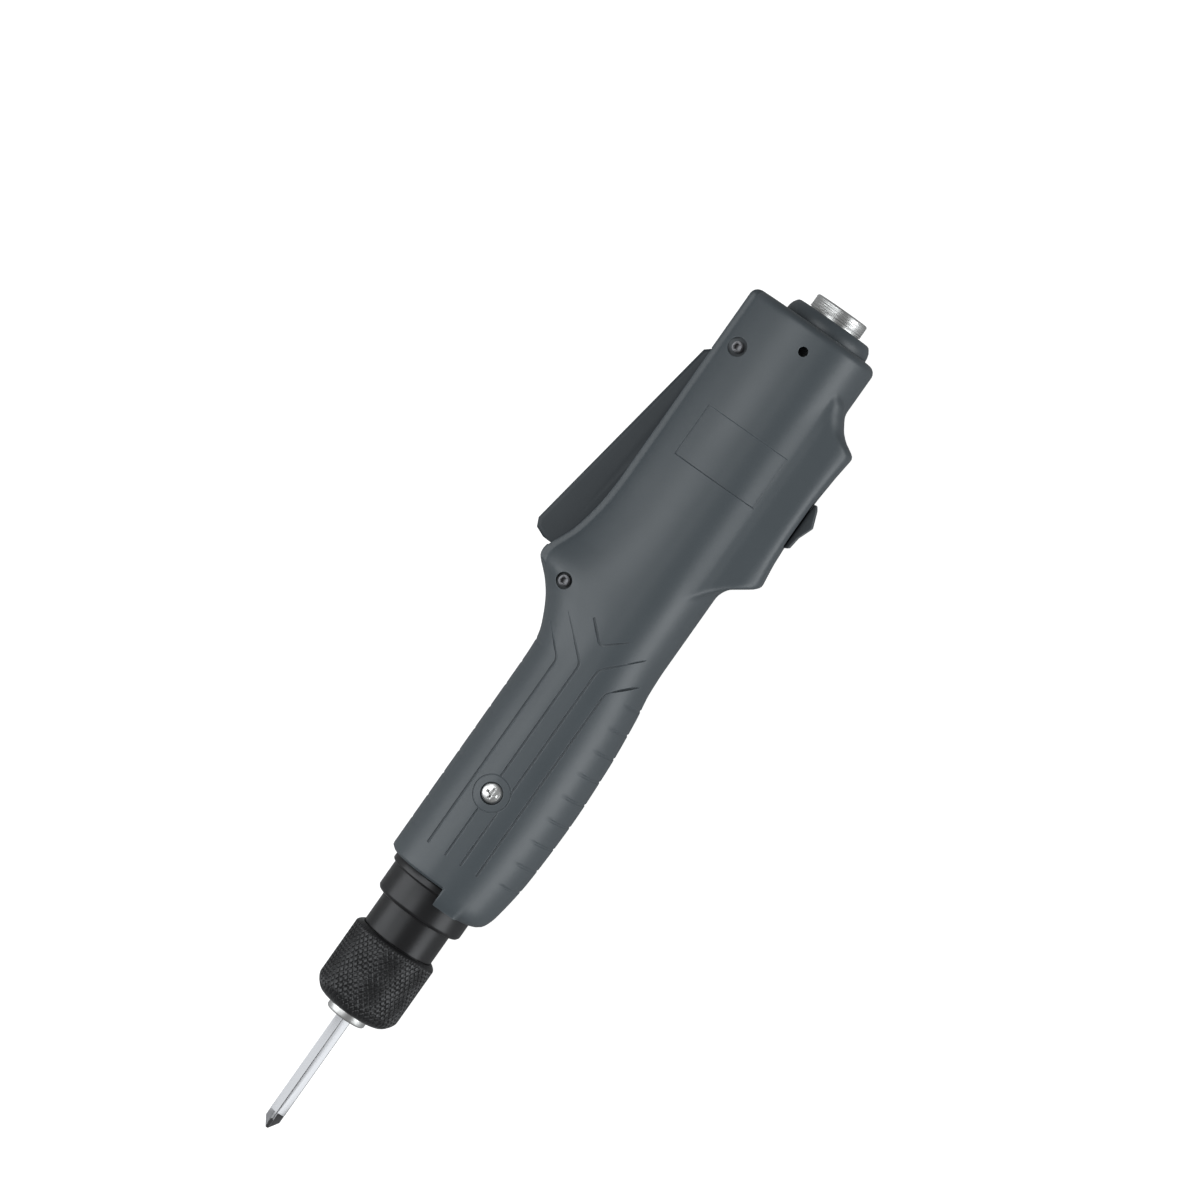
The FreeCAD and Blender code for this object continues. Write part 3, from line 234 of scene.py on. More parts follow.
def close_holes():
    bpy.ops.mesh.select_all(action="DESELECT")
    bpy.ops.mesh.select_mode(type="EDGE")
    bpy.ops.mesh.select_non_manifold(extend=False, use_wire=False, use_boundary=True,
                                     use_multi_face=False, use_non_contiguous=False, use_verts=False)
    bpy.ops.mesh.edge_face_add()
    bpy.ops.mesh.select_mode(type="VERT")


def leave_mesh(merge=False, fill=False):
    """Leaves edit mode with outward normals, where wanted with doubled points merged and holes filled."""
    bpy.ops.mesh.select_all(action="SELECT")
    if merge:
        bpy.ops.mesh.remove_doubles(threshold=SAME_POINT)
    if fill:
        close_holes()
        bpy.ops.mesh.select_all(action="SELECT")
    bpy.ops.mesh.normals_make_consistent(inside=False)
    bpy.ops.object.mode_set(mode="OBJECT")


def wrapped_grid(name, rows, columns, place, ends=True):
    """Tube made from a grid whose rows follow X and whose columns go round, each point set by place()."""
    clear_selection()
    bpy.ops.mesh.primitive_grid_add(x_subdivisions=rows - 1, y_subdivisions=columns, size=1.0)
    piece = named(name)
    flat = np.empty(len(piece.data.vertices) * 3)
    piece.data.vertices.foreach_get("co", flat)
    flat = flat.reshape(-1, 3)
    row = np.rint((flat[:, 0] + 0.5) * (rows - 1)).astype(int)
    column = np.rint((flat[:, 1] + 0.5) * columns).astype(int) % columns
    piece.data.vertices.foreach_set("co", (place(row, column) * MM).ravel())
    bpy.ops.object.mode_set(mode="EDIT")
    leave_mesh(merge=True, fill=ends)
    return piece


def lined(piece, x, radius, path):
    """Gives a grid tube an inner wall, extruded from its rim at x and bridged to its other rim."""
    bpy.ops.object.mode_set(mode="EDIT")
    mesh = bmesh.from_edit_mesh(piece.data)
    for v in mesh.verts:
        v.select = abs(v.co.x - x * MM) < SAME_POINT
    mesh.select_flush_mode()
    mesh.select_flush(True)
    bmesh.update_edit_mesh(piece.data)
    extrude_path(x, radius, path)
    mesh = bmesh.from_edit_mesh(piece.data)
    for edge in mesh.edges:
        edge.select = edge.is_boundary
    bmesh.update_edit_mesh(piece.data)
    bpy.ops.mesh.select_mode(type="EDGE")
    bpy.ops.mesh.bridge_edge_loops()
    leave_mesh()
    return piece


def extrude_path(x, radius, path):
    """Extrudes the selected ring of edges from point to point and resizes it about the spindle axis."""
    for next_x, next_radius in path:
        bpy.ops.mesh.extrude_region_move(TRANSFORM_OT_translate={"value": ((next_x - x) * MM, 0, 0)})
        factor = next_radius / radius
        bpy.ops.transform.resize(value=(1, factor, factor), center_override=(next_x * MM, 0, 0))
        x, radius = next_x, next_radius


def turned(name, profile, around=128):
    """Turned piece about the spindle axis: a ring is extruded and resized round its closed profile."""
    clear_selection()
    x, radius = profile[0]
    bpy.ops.mesh.primitive_circle_add(vertices=around, radius=radius * MM, fill_type="NOTHING",
                                      location=(x * MM, 0, 0), rotation=(0, math.pi / 2, 0))
    piece = named(name)
    bpy.ops.object.transform_apply(location=True, rotation=True, scale=True)
    bpy.ops.object.mode_set(mode="EDIT")
    bpy.ops.mesh.select_all(action="SELECT")
    extrude_path(x, radius, profile[1:] + profile[:1])
    leave_mesh(merge=True)
    return piece


def rod(name, radius, low, high, place=None, around=64):
    """Round bar along the spindle axis, or along Z at a place given by its X and Y."""
    middle = (low + high) / 2
    centre, turn = ((middle, 0, 0), (0, math.pi / 2, 0)) if place is None else ((*place, middle), (0, 0, 0))
    clear_selection()
    bpy.ops.mesh.primitive_cylinder_add(vertices=around, radius=radius * MM, depth=(high - low) * MM,
                                        location=Vector(centre) * MM, rotation=turn)
    piece = named(name)
    bpy.ops.object.transform_apply(location=True, rotation=True, scale=True)
    return piece


def block(name, low, high):
    clear_selection()
    middle = (Vector(low) + Vector(high)) / 2
    bpy.ops.mesh.primitive_cube_add(size=1.0, location=middle * MM)
    piece = named(name)
    piece.scale = (Vector(high) - Vector(low)) * MM
    bpy.ops.object.transform_apply(location=True, rotation=True, scale=True)
    return piece


def swept(name, sections):
    """Bar extruded through sections of four corners each."""
    clear_selection()
    bpy.ops.mesh.primitive_plane_add(size=1.0)
    piece = named(name)
    bpy.ops.object.mode_set(mode="EDIT")
    mesh = bmesh.from_edit_mesh(piece.data)
    mesh.faces.ensure_lookup_table()
    for corner, spot in zip(mesh.faces[0].verts, sections[0]):
        corner.co = Vector(spot) * MM
    bmesh.update_edit_mesh(piece.data)
    for before, section in zip(sections, sections[1:]):
        bpy.ops.mesh.extrude_region_move()
        mesh = bmesh.from_edit_mesh(piece.data)
        moved = [v for v in mesh.verts if v.select]
        for old, new in zip(before, section):
            nearest = min(moved, key=lambda v: (v.co - Vector(old) * MM).length)
            moved.remove(nearest)
            nearest.co = Vector(new) * MM
        bmesh.update_edit_mesh(piece.data)
    leave_mesh()
    return piece


def joined(pieces):
    clear_selection()
    for piece in pieces:
        piece.select_set(True)
    bpy.context.view_layer.objects.active = pieces[0]
    bpy.ops.object.join()
    return pieces[0]


def combine(piece, tool, operation="DIFFERENCE"):
    """Cuts, adds or keeps the common part of another piece, which is then removed."""
    pick(piece)
    bpy.ops.object.modifier_add(type="BOOLEAN")
    modifier = piece.modifiers[-1]
    modifier.operation = operation
    modifier.solver = "MANIFOLD"
    modifier.object = tool
    bpy.ops.object.modifier_apply(modifier=modifier.name)
    bpy.data.objects.remove(tool, do_unlink=True)
    return piece


def bevel_edges(piece, width, angle=35, segments=2):
    pick(piece)
    bpy.ops.object.modifier_add(type="BEVEL")
    modifier = piece.modifiers[-1]
    modifier.width = width
    modifier.segments = segments
    modifier.limit_method = "ANGLE"
    modifier.angle_limit = math.radians(angle)
    bpy.ops.object.modifier_apply(modifier=modifier.name)
    return piece


def bevel_chosen(piece, chosen, width, segments=5):
    """Rounds the edges for which chosen() holds, given their two ends in millimetres."""
    pick(piece)
    bpy.ops.object.mode_set(mode="EDIT")
    bpy.ops.mesh.select_mode(type="EDGE")
    bpy.ops.mesh.select_all(action="DESELECT")
    mesh = bmesh.from_edit_mesh(piece.data)
    for edge in mesh.edges:
        edge.select = chosen(edge.verts[0].co / MM, edge.verts[1].co / MM)
    bmesh.update_edit_mesh(piece.data)
    bpy.ops.mesh.bevel(offset=width, segments=segments, affect="EDGES")
    bpy.ops.mesh.select_mode(type="VERT")
    bpy.ops.object.mode_set(mode="OBJECT")
    return piece


def smooth(piece, angle=30):
    pick(piece)
    bpy.ops.object.shade_smooth_by_angle(angle=math.radians(angle))
    return piece


def reworked(node, name, dissolve=2.0):
    """Copy of a CAD node's mesh with its triangles merged back into whole faces."""
    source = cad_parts[node]
    clear_selection()
    piece = bpy.data.objects.new(name, source.data.copy())
    bpy.context.scene.collection.objects.link(piece)
    piece.data.name = name
    piece.data.materials.clear()
    pick(piece)
    bpy.ops.object.mode_set(mode="EDIT")
    bpy.ops.mesh.select_all(action="SELECT")
    bpy.ops.mesh.remove_doubles(threshold=2e-6)
    bpy.ops.mesh.dissolve_limited(angle_limit=math.radians(dissolve))
    bpy.ops.object.mode_set(mode="OBJECT")
    if piece.data.has_custom_normals:
        bpy.ops.mesh.customdata_custom_splitnormals_clear()
    return piece


def seat(piece, body, node, slot):
    """Finished piece: rides on its body, stands for its CAD node and takes its material."""
    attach(piece, body)
    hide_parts(node)
    piece.data.materials.clear()
    piece.data.materials.append(MATERIALS[slot])


# Shader groups

def new_group(name, inputs, outputs):
    """Shader group with its inputs given by their defaults and its outputs by their kinds."""
    group = bpy.data.node_groups.new(name, "ShaderNodeTree")
    for socket, value in inputs.items():
        kind = "NodeSocketFloat" if isinstance(value, float) else "NodeSocketColor"
        group.interface.new_socket(socket, in_out="INPUT", socket_type=kind).default_value = value
    for socket, kind in outputs.items():
        group.interface.new_socket(socket, in_out="OUTPUT", socket_type="NodeSocket" + kind)
    return group, group.nodes.new("NodeGroupInput").outputs, group.nodes.new("NodeGroupOutput").inputs


def add_node(tree, kind, links=(), **values):
    """Node with its plain settings by attribute name and its inputs by socket name."""
    node = tree.nodes.new(kind)
    for key, value in values.items():
        setattr(node, key, value)
    for socket, source in links:
        if isinstance(source, bpy.types.NodeSocket):
            tree.links.new(source, node.inputs[socket])
        else:
            node.inputs[socket].default_value = source
    return node


def math_node(tree, operation, first, second=0.0, clamp=False):
    node = add_node(tree, "ShaderNodeMath", [(0, first), (1, second)], operation=operation)
    node.use_clamp = clamp
    return node.outputs[0]


def own_space(tree):
    """Coordinates in the piece's own space."""
    return add_node(tree, "ShaderNodeTexCoord").outputs["Object"]


def noise(tree, scale, detail, rough=0.5):
    links = [("Vector", own_space(tree)), ("Scale", scale), ("Detail", detail), ("Roughness", rough)]
    return add_node(tree, "ShaderNodeTexNoise", links).outputs[0]


def swing(tree, source, amount):
    """Change about zero: a noise less its middle value, times an amount."""
    return math_node(tree, "MULTIPLY", math_node(tree, "SUBTRACT", source, 0.5), amount)


def blend(tree, mask, first, second):
    """First colour where the mask is 0, second where it is 1."""
    mixed = add_node(tree, "ShaderNodeMix", data_type="RGBA")
    tree.links.new(mask, mixed.inputs["Factor"])
    tree.links.new(first, mixed.inputs["A"])
    if isinstance(second, bpy.types.NodeSocket):
        tree.links.new(second, mixed.inputs["B"])
    else:
        mixed.inputs["B"].default_value = second
    return mixed.outputs["Result"]


def grain_group():
    """Fine moulding grain: small pits with a slower change of gloss."""
    group, given, result = new_group(
        "moulding_grain", {"Scale": 2200.0, "Gloss": 0.42, "Gloss spread": 0.06},
        {"Roughness": "Float", "Height": "Float"})
    fine = noise(group, given["Scale"], 3.0, 0.6)
    broad = noise(group, 70.0, 4.0, 0.55)
    slow = math_node(group, "MULTIPLY", swing(group, broad, given["Gloss spread"]), 2.0)
    total = math_node(group, "ADD", slow, swing(group, fine, given["Gloss spread"]))
    group.links.new(math_node(group, "ADD", given["Gloss"], total, True), result["Roughness"])
    group.links.new(fine, result["Height"])
    return group


def tint_group():
    """Slow change of colour over a piece, with a lighter rub on its edges."""
    group, given, result = new_group("tint_and_rub", {
        "Colour": (0.1, 0.1, 0.1, 1), "Rubbed colour": (0.2, 0.2, 0.2, 1), "Spread": 0.08, "Rub": 0.3,
        "Edge width": 0.0005}, {"Colour": "Color"})
    cloud = noise(group, 45.0, 5.0, 0.6)
    speck = noise(group, 900.0, 2.0)
    change = math_node(group, "MULTIPLY", swing(group, cloud, given["Spread"]), 2.0)
    toned = add_node(group, "ShaderNodeHueSaturation", [
        ("Value", math_node(group, "ADD", change, 1.0)), ("Color", given["Colour"])])
    rounded = add_node(group, "ShaderNodeBevel", [("Radius", given["Edge width"])], samples=6)
    shape = add_node(group, "ShaderNodeNewGeometry")
    likeness = add_node(group, "ShaderNodeVectorMath", [
        (0, rounded.outputs[0]), (1, shape.outputs["Normal"])], operation="DOT_PRODUCT")
    edge = math_node(group, "SUBTRACT", 1.0, likeness.outputs["Value"], True)
    edge = math_node(group, "MULTIPLY", edge, 7.0, True)
    broken = math_node(group, "MULTIPLY", edge, math_node(group, "ADD", speck, 0.25))
    mask = math_node(group, "MULTIPLY", broken, given["Rub"], True)
    group.links.new(blend(group, mask, toned.outputs[0], given["Rubbed colour"]), result["Colour"])
    return group


def turning_group():
    """Fine lathe marks across the spindle axis, with small changes of gloss along it."""
    group, given, result = new_group(
        "lathe_marks", {"Lines per metre": 9000.0, "Gloss": 0.3, "Gloss spread": 0.1},
        {"Roughness": "Float", "Height": "Float"})
    split = add_node(group, "ShaderNodeSeparateXYZ", [(0, own_space(group))])
    along = math_node(group, "MULTIPLY", split.outputs["X"], given["Lines per metre"])
    marks = add_node(group, "ShaderNodeTexNoise", [("W", along), ("Scale", 1.0), ("Detail", 3.0)],
                     noise_dimensions="1D").outputs[0]
    haze = noise(group, 160.0, 4.0)
    mixed = math_node(group, "ADD", swing(group, marks, 1.0), swing(group, haze, 1.0))
    change = math_node(group, "MULTIPLY", mixed, given["Gloss spread"])
    group.links.new(math_node(group, "ADD", change, given["Gloss"], True), result["Roughness"])
    group.links.new(marks, result["Height"])
    return group


def grinding_group():
    """Drawn and ground lines along the bar, as on bit steel and wire."""
    group, given, result = new_group(
        "ground_lines", {"Gloss": 0.2, "Gloss spread": 0.12}, {"Roughness": "Float", "Height": "Float"})
    stretch = add_node(group, "ShaderNodeMapping", [
        ("Vector", own_space(group)), ("Scale", (60.0, 3800.0, 3800.0))])
    lines = add_node(group, "ShaderNodeTexNoise", [
        ("Vector", stretch.outputs[0]), ("Scale", 1.0), ("Detail", 3.0)]).outputs[0]
    change = swing(group, lines, given["Gloss spread"])
    group.links.new(math_node(group, "ADD", change, given["Gloss"], True), result["Roughness"])
    group.links.new(lines, result["Height"])
    return group


def rounded_group():
    """Small rounding of hard edges, given as a normal."""
    group, given, result = new_group("eased_edges", {"Radius": 0.0002}, {"Normal": "Vector"})
    eased = add_node(group, "ShaderNodeBevel", [("Radius", given["Radius"])], samples=6)
    group.links.new(eased.outputs[0], result["Normal"])
    return group


GROUPS = {}


def use_group(tree, maker, **values):
    if maker not in GROUPS:
        GROUPS[maker] = maker()
    node = tree.nodes.new("ShaderNodeGroup")
    node.node_tree = GROUPS[maker]
    for socket, value in values.items():
        node.inputs[socket.replace("_", " ")].default_value = value
    return node


def blank_material(name):
    material = bpy.data.materials.new(name)
    material.use_nodes = True
    tree = material.node_tree
    shader = tree.nodes["Principled BSDF"]
    return material, tree, shader


def colour_of(colour, factor=1.0, lift=0.0):
    """Colour with its alpha, made lighter by a factor and a lift where wanted."""
    return tuple(min(1.0, factor * c + lift) for c in colour) + (1.0,)


def cover(tree, shader, tint, surface, radius, strength, depth):
    """Feeds the shader's colour, gloss and normal from the shader groups."""
    eased = use_group(tree, rounded_group, Radius=radius)
    bump = add_node(tree, "ShaderNodeBump", [
        ("Strength", strength), ("Distance", depth), ("Height", surface.outputs["Height"]),
        ("Normal", eased.outputs["Normal"])])
    tree.links.new(tint.outputs["Colour"], shader.inputs["Base Color"])
    tree.links.new(surface.outputs["Roughness"], shader.inputs["Roughness"])
    tree.links.new(bump.outputs[0], shader.inputs["Normal"])


def plastic(name, colour, gloss, grain, depth, rub, spread=0.06):
    """Moulded plastic with grain, slow tint and slightly rubbed edges."""
    material, tree, shader = blank_material(name)
    tint = use_group(tree, tint_group, Colour=colour_of(colour), Rubbed_colour=colour_of(colour, 2.2, 0.03),
                     Spread=spread, Rub=rub)
    surface = use_group(tree, grain_group, Scale=grain, Gloss=gloss)
    cover(tree, shader, tint, surface, 0.00018, 0.35, depth)
    shader.inputs["IOR"].default_value = 1.5
    return material


def metal(name, colour, gloss, spread, lines=9000.0, depth=0.000006, metallic=1.0, rub=0.2, radius=0.00012):
    """Machined metal with lathe marks, or with drawn lines along the bar where lines is None."""
    material, tree, shader = blank_material(name)
    tint = use_group(tree, tint_group, Colour=colour_of(colour), Rubbed_colour=colour_of(colour, 1.5, 0.08),
                     Spread=0.05, Rub=rub, Edge_width=0.0003)
    if lines is None:
        surface = use_group(tree, grinding_group, Gloss=gloss, Gloss_spread=spread)
    else:
        surface = use_group(tree, turning_group, Lines_per_metre=lines, Gloss=gloss, Gloss_spread=spread)
    cover(tree, shader, tint, surface, radius, 0.3, depth)
    shader.inputs["Metallic"].default_value = metallic
    return material


def blacken_point(material, behind, ahead, colour, duller):
    """Darkens and dulls the bit's steel ahead of a ragged line across it."""
    tree = material.node_tree
    shader = tree.nodes["Principled BSDF"]
    split = add_node(tree, "ShaderNodeSeparateXYZ", [(0, own_space(tree))])
    edge = math_node(tree, "ADD", split.outputs["X"], swing(tree, noise(tree, 700.0, 4.0), 0.0012))
    mask = add_node(tree, "ShaderNodeMapRange", [
        ("Value", edge), ("From Min", ahead), ("From Max", behind), ("To Min", 1.0),
        ("To Max", 0.0)]).outputs[0]
    base, rough = (shader.inputs[socket].links[0].from_socket for socket in ("Base Color", "Roughness"))
    tree.links.new(blend(tree, mask, base, colour), shader.inputs["Base Color"])
    added = math_node(tree, "MULTIPLY", mask, duller)
    tree.links.new(math_node(tree, "ADD", rough, added, True), shader.inputs["Roughness"])


def make_materials():
    """Every finish of the tool, from the colours in the panel."""
    look = bpy.context.scene.screwdriver_finish
    # Colour, gloss, grains per metre, grain depth, rub of the edges, spread of the colour
    plastics = {
        "housing_plastic": (look.housing, 0.43, 2100.0, 0.00003, 0.30, 0.05),
        "lever_plastic": (look.lever, 0.58, 2300.0, 0.00003, 0.35, 0.05),
        "knob_plastic": (look.knob, 0.40, 2600.0, 0.00002, 0.45),
        "magnet_black": ((0.045, 0.045, 0.05), 0.55, 1500.0, 0.00004, 0.5),
        "insulator": ((0.035, 0.035, 0.038), 0.45, 2400.0, 0.00002, 0.4),
        "brush_carbon": ((0.025, 0.025, 0.026), 0.6, 1800.0, 0.00003, 0.3),
        "board_green": ((0.02, 0.14, 0.06), 0.35, 900.0, 0.00001, 0.4, 0.1),
        "component_black": ((0.02, 0.02, 0.022), 0.42, 2600.0, 0.00002, 0.4),
    }
    # Colour, gloss, its spread, lines per metre, their depth, metallic, rub of the edges, edge radius
    metals = {
        "black_anodised": (look.anodised, 0.33, 0.10, 8200.0, 0.000008, 0.55, 0.25),
        "knurled_black": (look.anodised, 0.30, 0.08, 4200.0, 0.000002, 0.55, 0.5, 0.00004),
        "bright_steel": (look.steel, 0.22, 0.05, None, 0.000002, 1.0, 0.05, 0.00006),
        "nickel_plate": (look.plated, 0.36, 0.10, 7000.0, 0.000004),
        "dark_steel": ((0.10, 0.10, 0.105), 0.34, 0.12, 9000.0, 0.000006, 1.0, 0.3),
        "spring_steel": ((0.42, 0.42, 0.44), 0.26, 0.1, None),
        "gear_steel": ((0.38, 0.38, 0.39), 0.28, 0.12, 12000.0, 0.000005),
        "brass_metal": ((0.62, 0.46, 0.20), 0.28, 0.12),
        "bronze_bush": ((0.46, 0.30, 0.16), 0.38, 0.12),
        "copper_wire": ((0.60, 0.27, 0.13), 0.30, 0.1, None),
        "lamination": ((0.30, 0.31, 0.33), 0.40, 0.16, 2400.0, 0.00003),
        "gold_contact": ((0.80, 0.58, 0.24), 0.2, 0.08),
    }
    for maker, finishes in ((plastic, plastics), (metal, metals)):
        for name, values in finishes.items():
            MATERIALS[name] = maker(name, *values)
    blacken_point(MATERIALS["bright_steel"], -0.0308, -0.0322, (0.17, 0.17, 0.175, 1), 0.2)


# Housing form, in millimetres

TAB_FRONT = SHELL_LOW.x / MM
FACE_FRONT = TAB_FRONT + 4.8
HOUSING_END = SHELL_HIGH.x / MM
LOWER_POWER = 2.3
FLAT_ABOVE = 2.0
FLAT_BELOW = 1.5
top_line = smooth_line([
    (34.8, 13.1), (36.5, 14.2), (39.6, 14.9), (92.0, 14.9), (97.0, 14.95), (101.4, 15.15), (104.0, 15.65),
    (108.0, 17.3), (112.0, 19.5), (115.2, 22.0), (118.2, 25.0), (119.7, 25.85), (120.9, 26.0),
    (122.4, 25.8), (123.8, 25.3), (126.2, 24.2), (129.8, 22.75), (135.8, 21.4), (141.8, 20.7),
    (147.0, 20.5), (HOUSING_END, 20.5)])
bottom_line = smooth_line([
    (34.8, 13.3), (35.6, 14.6), (36.5, 15.4), (39.8, 16.5), (53.4, 18.1), (69.0, 18.5), (84.6, 17.95),
    (99.0, 16.65), (106.8, 15.5), (113.8, 15.2), (HOUSING_END, 15.2)])
width_line = smooth_line([
    (34.8, 13.45), (36.5, 14.95), (39.8, 15.8), (53.4, 16.75), (69.0, 17.0), (84.6, 16.83), (99.0, 16.5),
    (106.8, 16.6), (113.8, 17.1), (120.0, 17.2), (HOUSING_END, 17.2)])
power_line = smooth_line([(34.8, 2.1), (69.0, 2.1), (99.0, 2.15), (113.8, 2.1), (HOUSING_END, 2.1)])
flat_line = smooth_line([(34.8, 0.7), (99.0, 0.6), (113.8, 0.35), (HOUSING_END, 0.35)])
guard_blend = smooth_line([(128.0, 1.2), (138.0, 2.6), (181.0, 2.6), (192.0, 0.5)])
guard_corner = smooth_line([(128.0, 1.8), (181.0, 1.8), (186.0, 6.0), (HOUSING_END, 6.0)])
lip_share = smooth_line([(117.4, 0.0), (120.0, 1.0), (HOUSING_END, 1.0)])
guard_line = straight_line([
    (131.0, 9.0), (137.4, 15.0), (139.4, 17.0), (143.2, 22.4), (144.0, 22.7), (150.2, 21.9), (157.2, 21.5),
    (169.2, 21.5), (176.2, 22.0), (182.6, 22.7), (183.4, 22.2), (184.6, 19.6), (186.6, 17.3),
    (189.2, 15.6), (192.0, 14.2), (196.0, 9.0)], 0.7)
FRONT_SCREW = (118.1, 17.0)
REAR_SCREW = (188.8, 15.3)
GRIP_SCREW = (65.9, 1.3)
BAIL = (196.9, 1.3)
PIVOT = (183.0, 17.2)
PIN_REACH = 8.0
PAD_RADIUS = 4.65
# Sides of the guard and of the lip beside the lever: height from the axis, half width there
GUARD_SIDE = [(0.0, 13.9), (12.0, 13.3), (19.0, 12.0), (21.0, 11.1), (24.0, 9.0)]
LIP_SIDE = [(0.0, 9.0), (18.0, 8.2), (20.5, 7.8), (27.0, 7.4)]
BEHIND_LIP = 0.6
# Roundings: their run along the housing and how far they draw the skin in
REAR_ROUNDING = (2.2, 2.2)
TAB_ROUNDING = (0.8, 0.6)
FACE_ROUNDING = (1.1, 0.8)
# Label recess: its ends along X, then its lower and upper edge; and the place where the skin's width
# gives the angles of those two edges
LABEL = (159.0, 173.4, -10.5, 12.8)
LABEL_SKIN = 165.0
# Short side grooves: the first one's place, their half width and the run of their slopes
SHORT_GROOVE_START = 48.3
SHORT_GROOVE_HALF = 0.45
SHORT_GROOVE_SLOPE = 0.3
# Angles of the shoulder, in degrees, where the mesh has finer columns
FINE_FROM, FINE_TO, FINE_STEP = 56.0, 78.0, 0.5
# Search for the skin's distance from the axis
FAR_OUT = 40.0
HALVINGS = 34


def rounding(past, size):
    """How far the skin draws in at a distance past the start of a rounding."""
    run, depth = size
    return depth * (1 - np.sqrt(1 - np.clip(past / run, 0, 1) ** 2))


def end_rounding(x):
    """Rounding of the rear corner and of the front of the tab."""
    rear = x - (HOUSING_END - REAR_ROUNDING[0])
    front = (TAB_FRONT + TAB_ROUNDING[0]) - x
    return rounding(rear, REAR_ROUNDING) + rounding(front, TAB_ROUNDING)


def face_rounding(x):
    """Rounding of the upper front face behind the notch."""
    return rounding((FACE_FRONT + FACE_ROUNDING[0]) - x, FACE_ROUNDING)


def upper_height(x):
    """Height of the upper body, which runs on a little past the lip beside and behind the lever."""
    return top_line(x) + BEHIND_LIP * lip_share(x)


def skin_reach(inside, count):
    """Distances from the axis at which inside() stops being true, found by halving."""
    low, high = np.zeros(count), np.full(count, FAR_OUT)
    for _ in range(HALVINGS):
        middle = (low + high) / 2
        held = inside(middle)
        low, high = np.where(held, middle, low), np.where(held, high, middle)
    return (low + high) / 2


def reach_between(c, down, side_line, inset):
    """Distance from the axis to a pair of upright sides whose half width changes with the height."""
    heights, widths = zip(*side_line)
    return skin_reach(lambda reach: np.abs(reach * c) + inset < np.interp(reach * down, heights, widths),
                      len(c))


def eased_least(first, second, soft):
    """The smaller of two distances, with a soft change between them."""
    near = np.maximum(soft - np.abs(first - second), 0) / soft
    return np.minimum(first, second) - near ** 2 * soft / 4


def eased_most(first, second, soft):
    """The larger of two distances, with a soft change between them."""
    return -eased_least(-first, -second, soft)


def section_reach(x, angle, inset):
    """Distance from the axis to the skin at a place and an angle round it, guard and lip included."""
    c, s = np.cos(angle), np.sin(angle)
    upper = s > 0
    height = np.where(upper, upper_height(x) - face_rounding(x), bottom_line(x)) - inset - end_rounding(x)
    width = width_line(x) - inset - end_rounding(x) - np.where(s > -0.15, face_rounding(x), 0)
    power = np.where(upper, power_line(x), LOWER_POWER)
    flat = flat_line(x) * np.where(upper, FLAT_ABOVE, FLAT_BELOW)

    def in_body(reach):
        rise = np.maximum(np.abs(reach * s) - flat, 0) / (height - flat)
        return rise ** power + (np.abs(reach * c) / width) ** power < 1

    body = skin_reach(in_body, len(c))
    down = np.maximum(-s, 1e-6)
    foot = (guard_line(x) - inset) / down
    guard = eased_least(reach_between(c, down, GUARD_SIDE, inset), foot, guard_corner(x))
    guard = np.where(s < -0.2, guard, 0.0)
    rise = np.maximum(s, 1e-6)
    drawn_in = inset + end_rounding(x)
    crest = (top_line(x) - 4.0 * (1 - lip_share(x)) - drawn_in) / rise
    lip = eased_least(reach_between(c, rise, LIP_SIDE, drawn_in), crest, 0.9)
    lip = np.where((s > 0.5) & (lip_share(x) > 0), lip, 0.0)
    return eased_most(eased_most(body, guard, guard_blend(x)), lip, 0.5)


def skin_z(x, y):
    """Half width of the skin at a place seen from the side."""
    height = float(upper_height(x) if y > 0 else bottom_line(x))
    power = float(power_line(x)) if y > 0 else LOWER_POWER
    flat = float(flat_line(x)) * (FLAT_ABOVE if y > 0 else FLAT_BELOW)
    rise = min(max(abs(y) - flat, 0) / (height - flat), 0.999)
    return float(width_line(x)) * (1 - rise ** power) ** (1 / power)


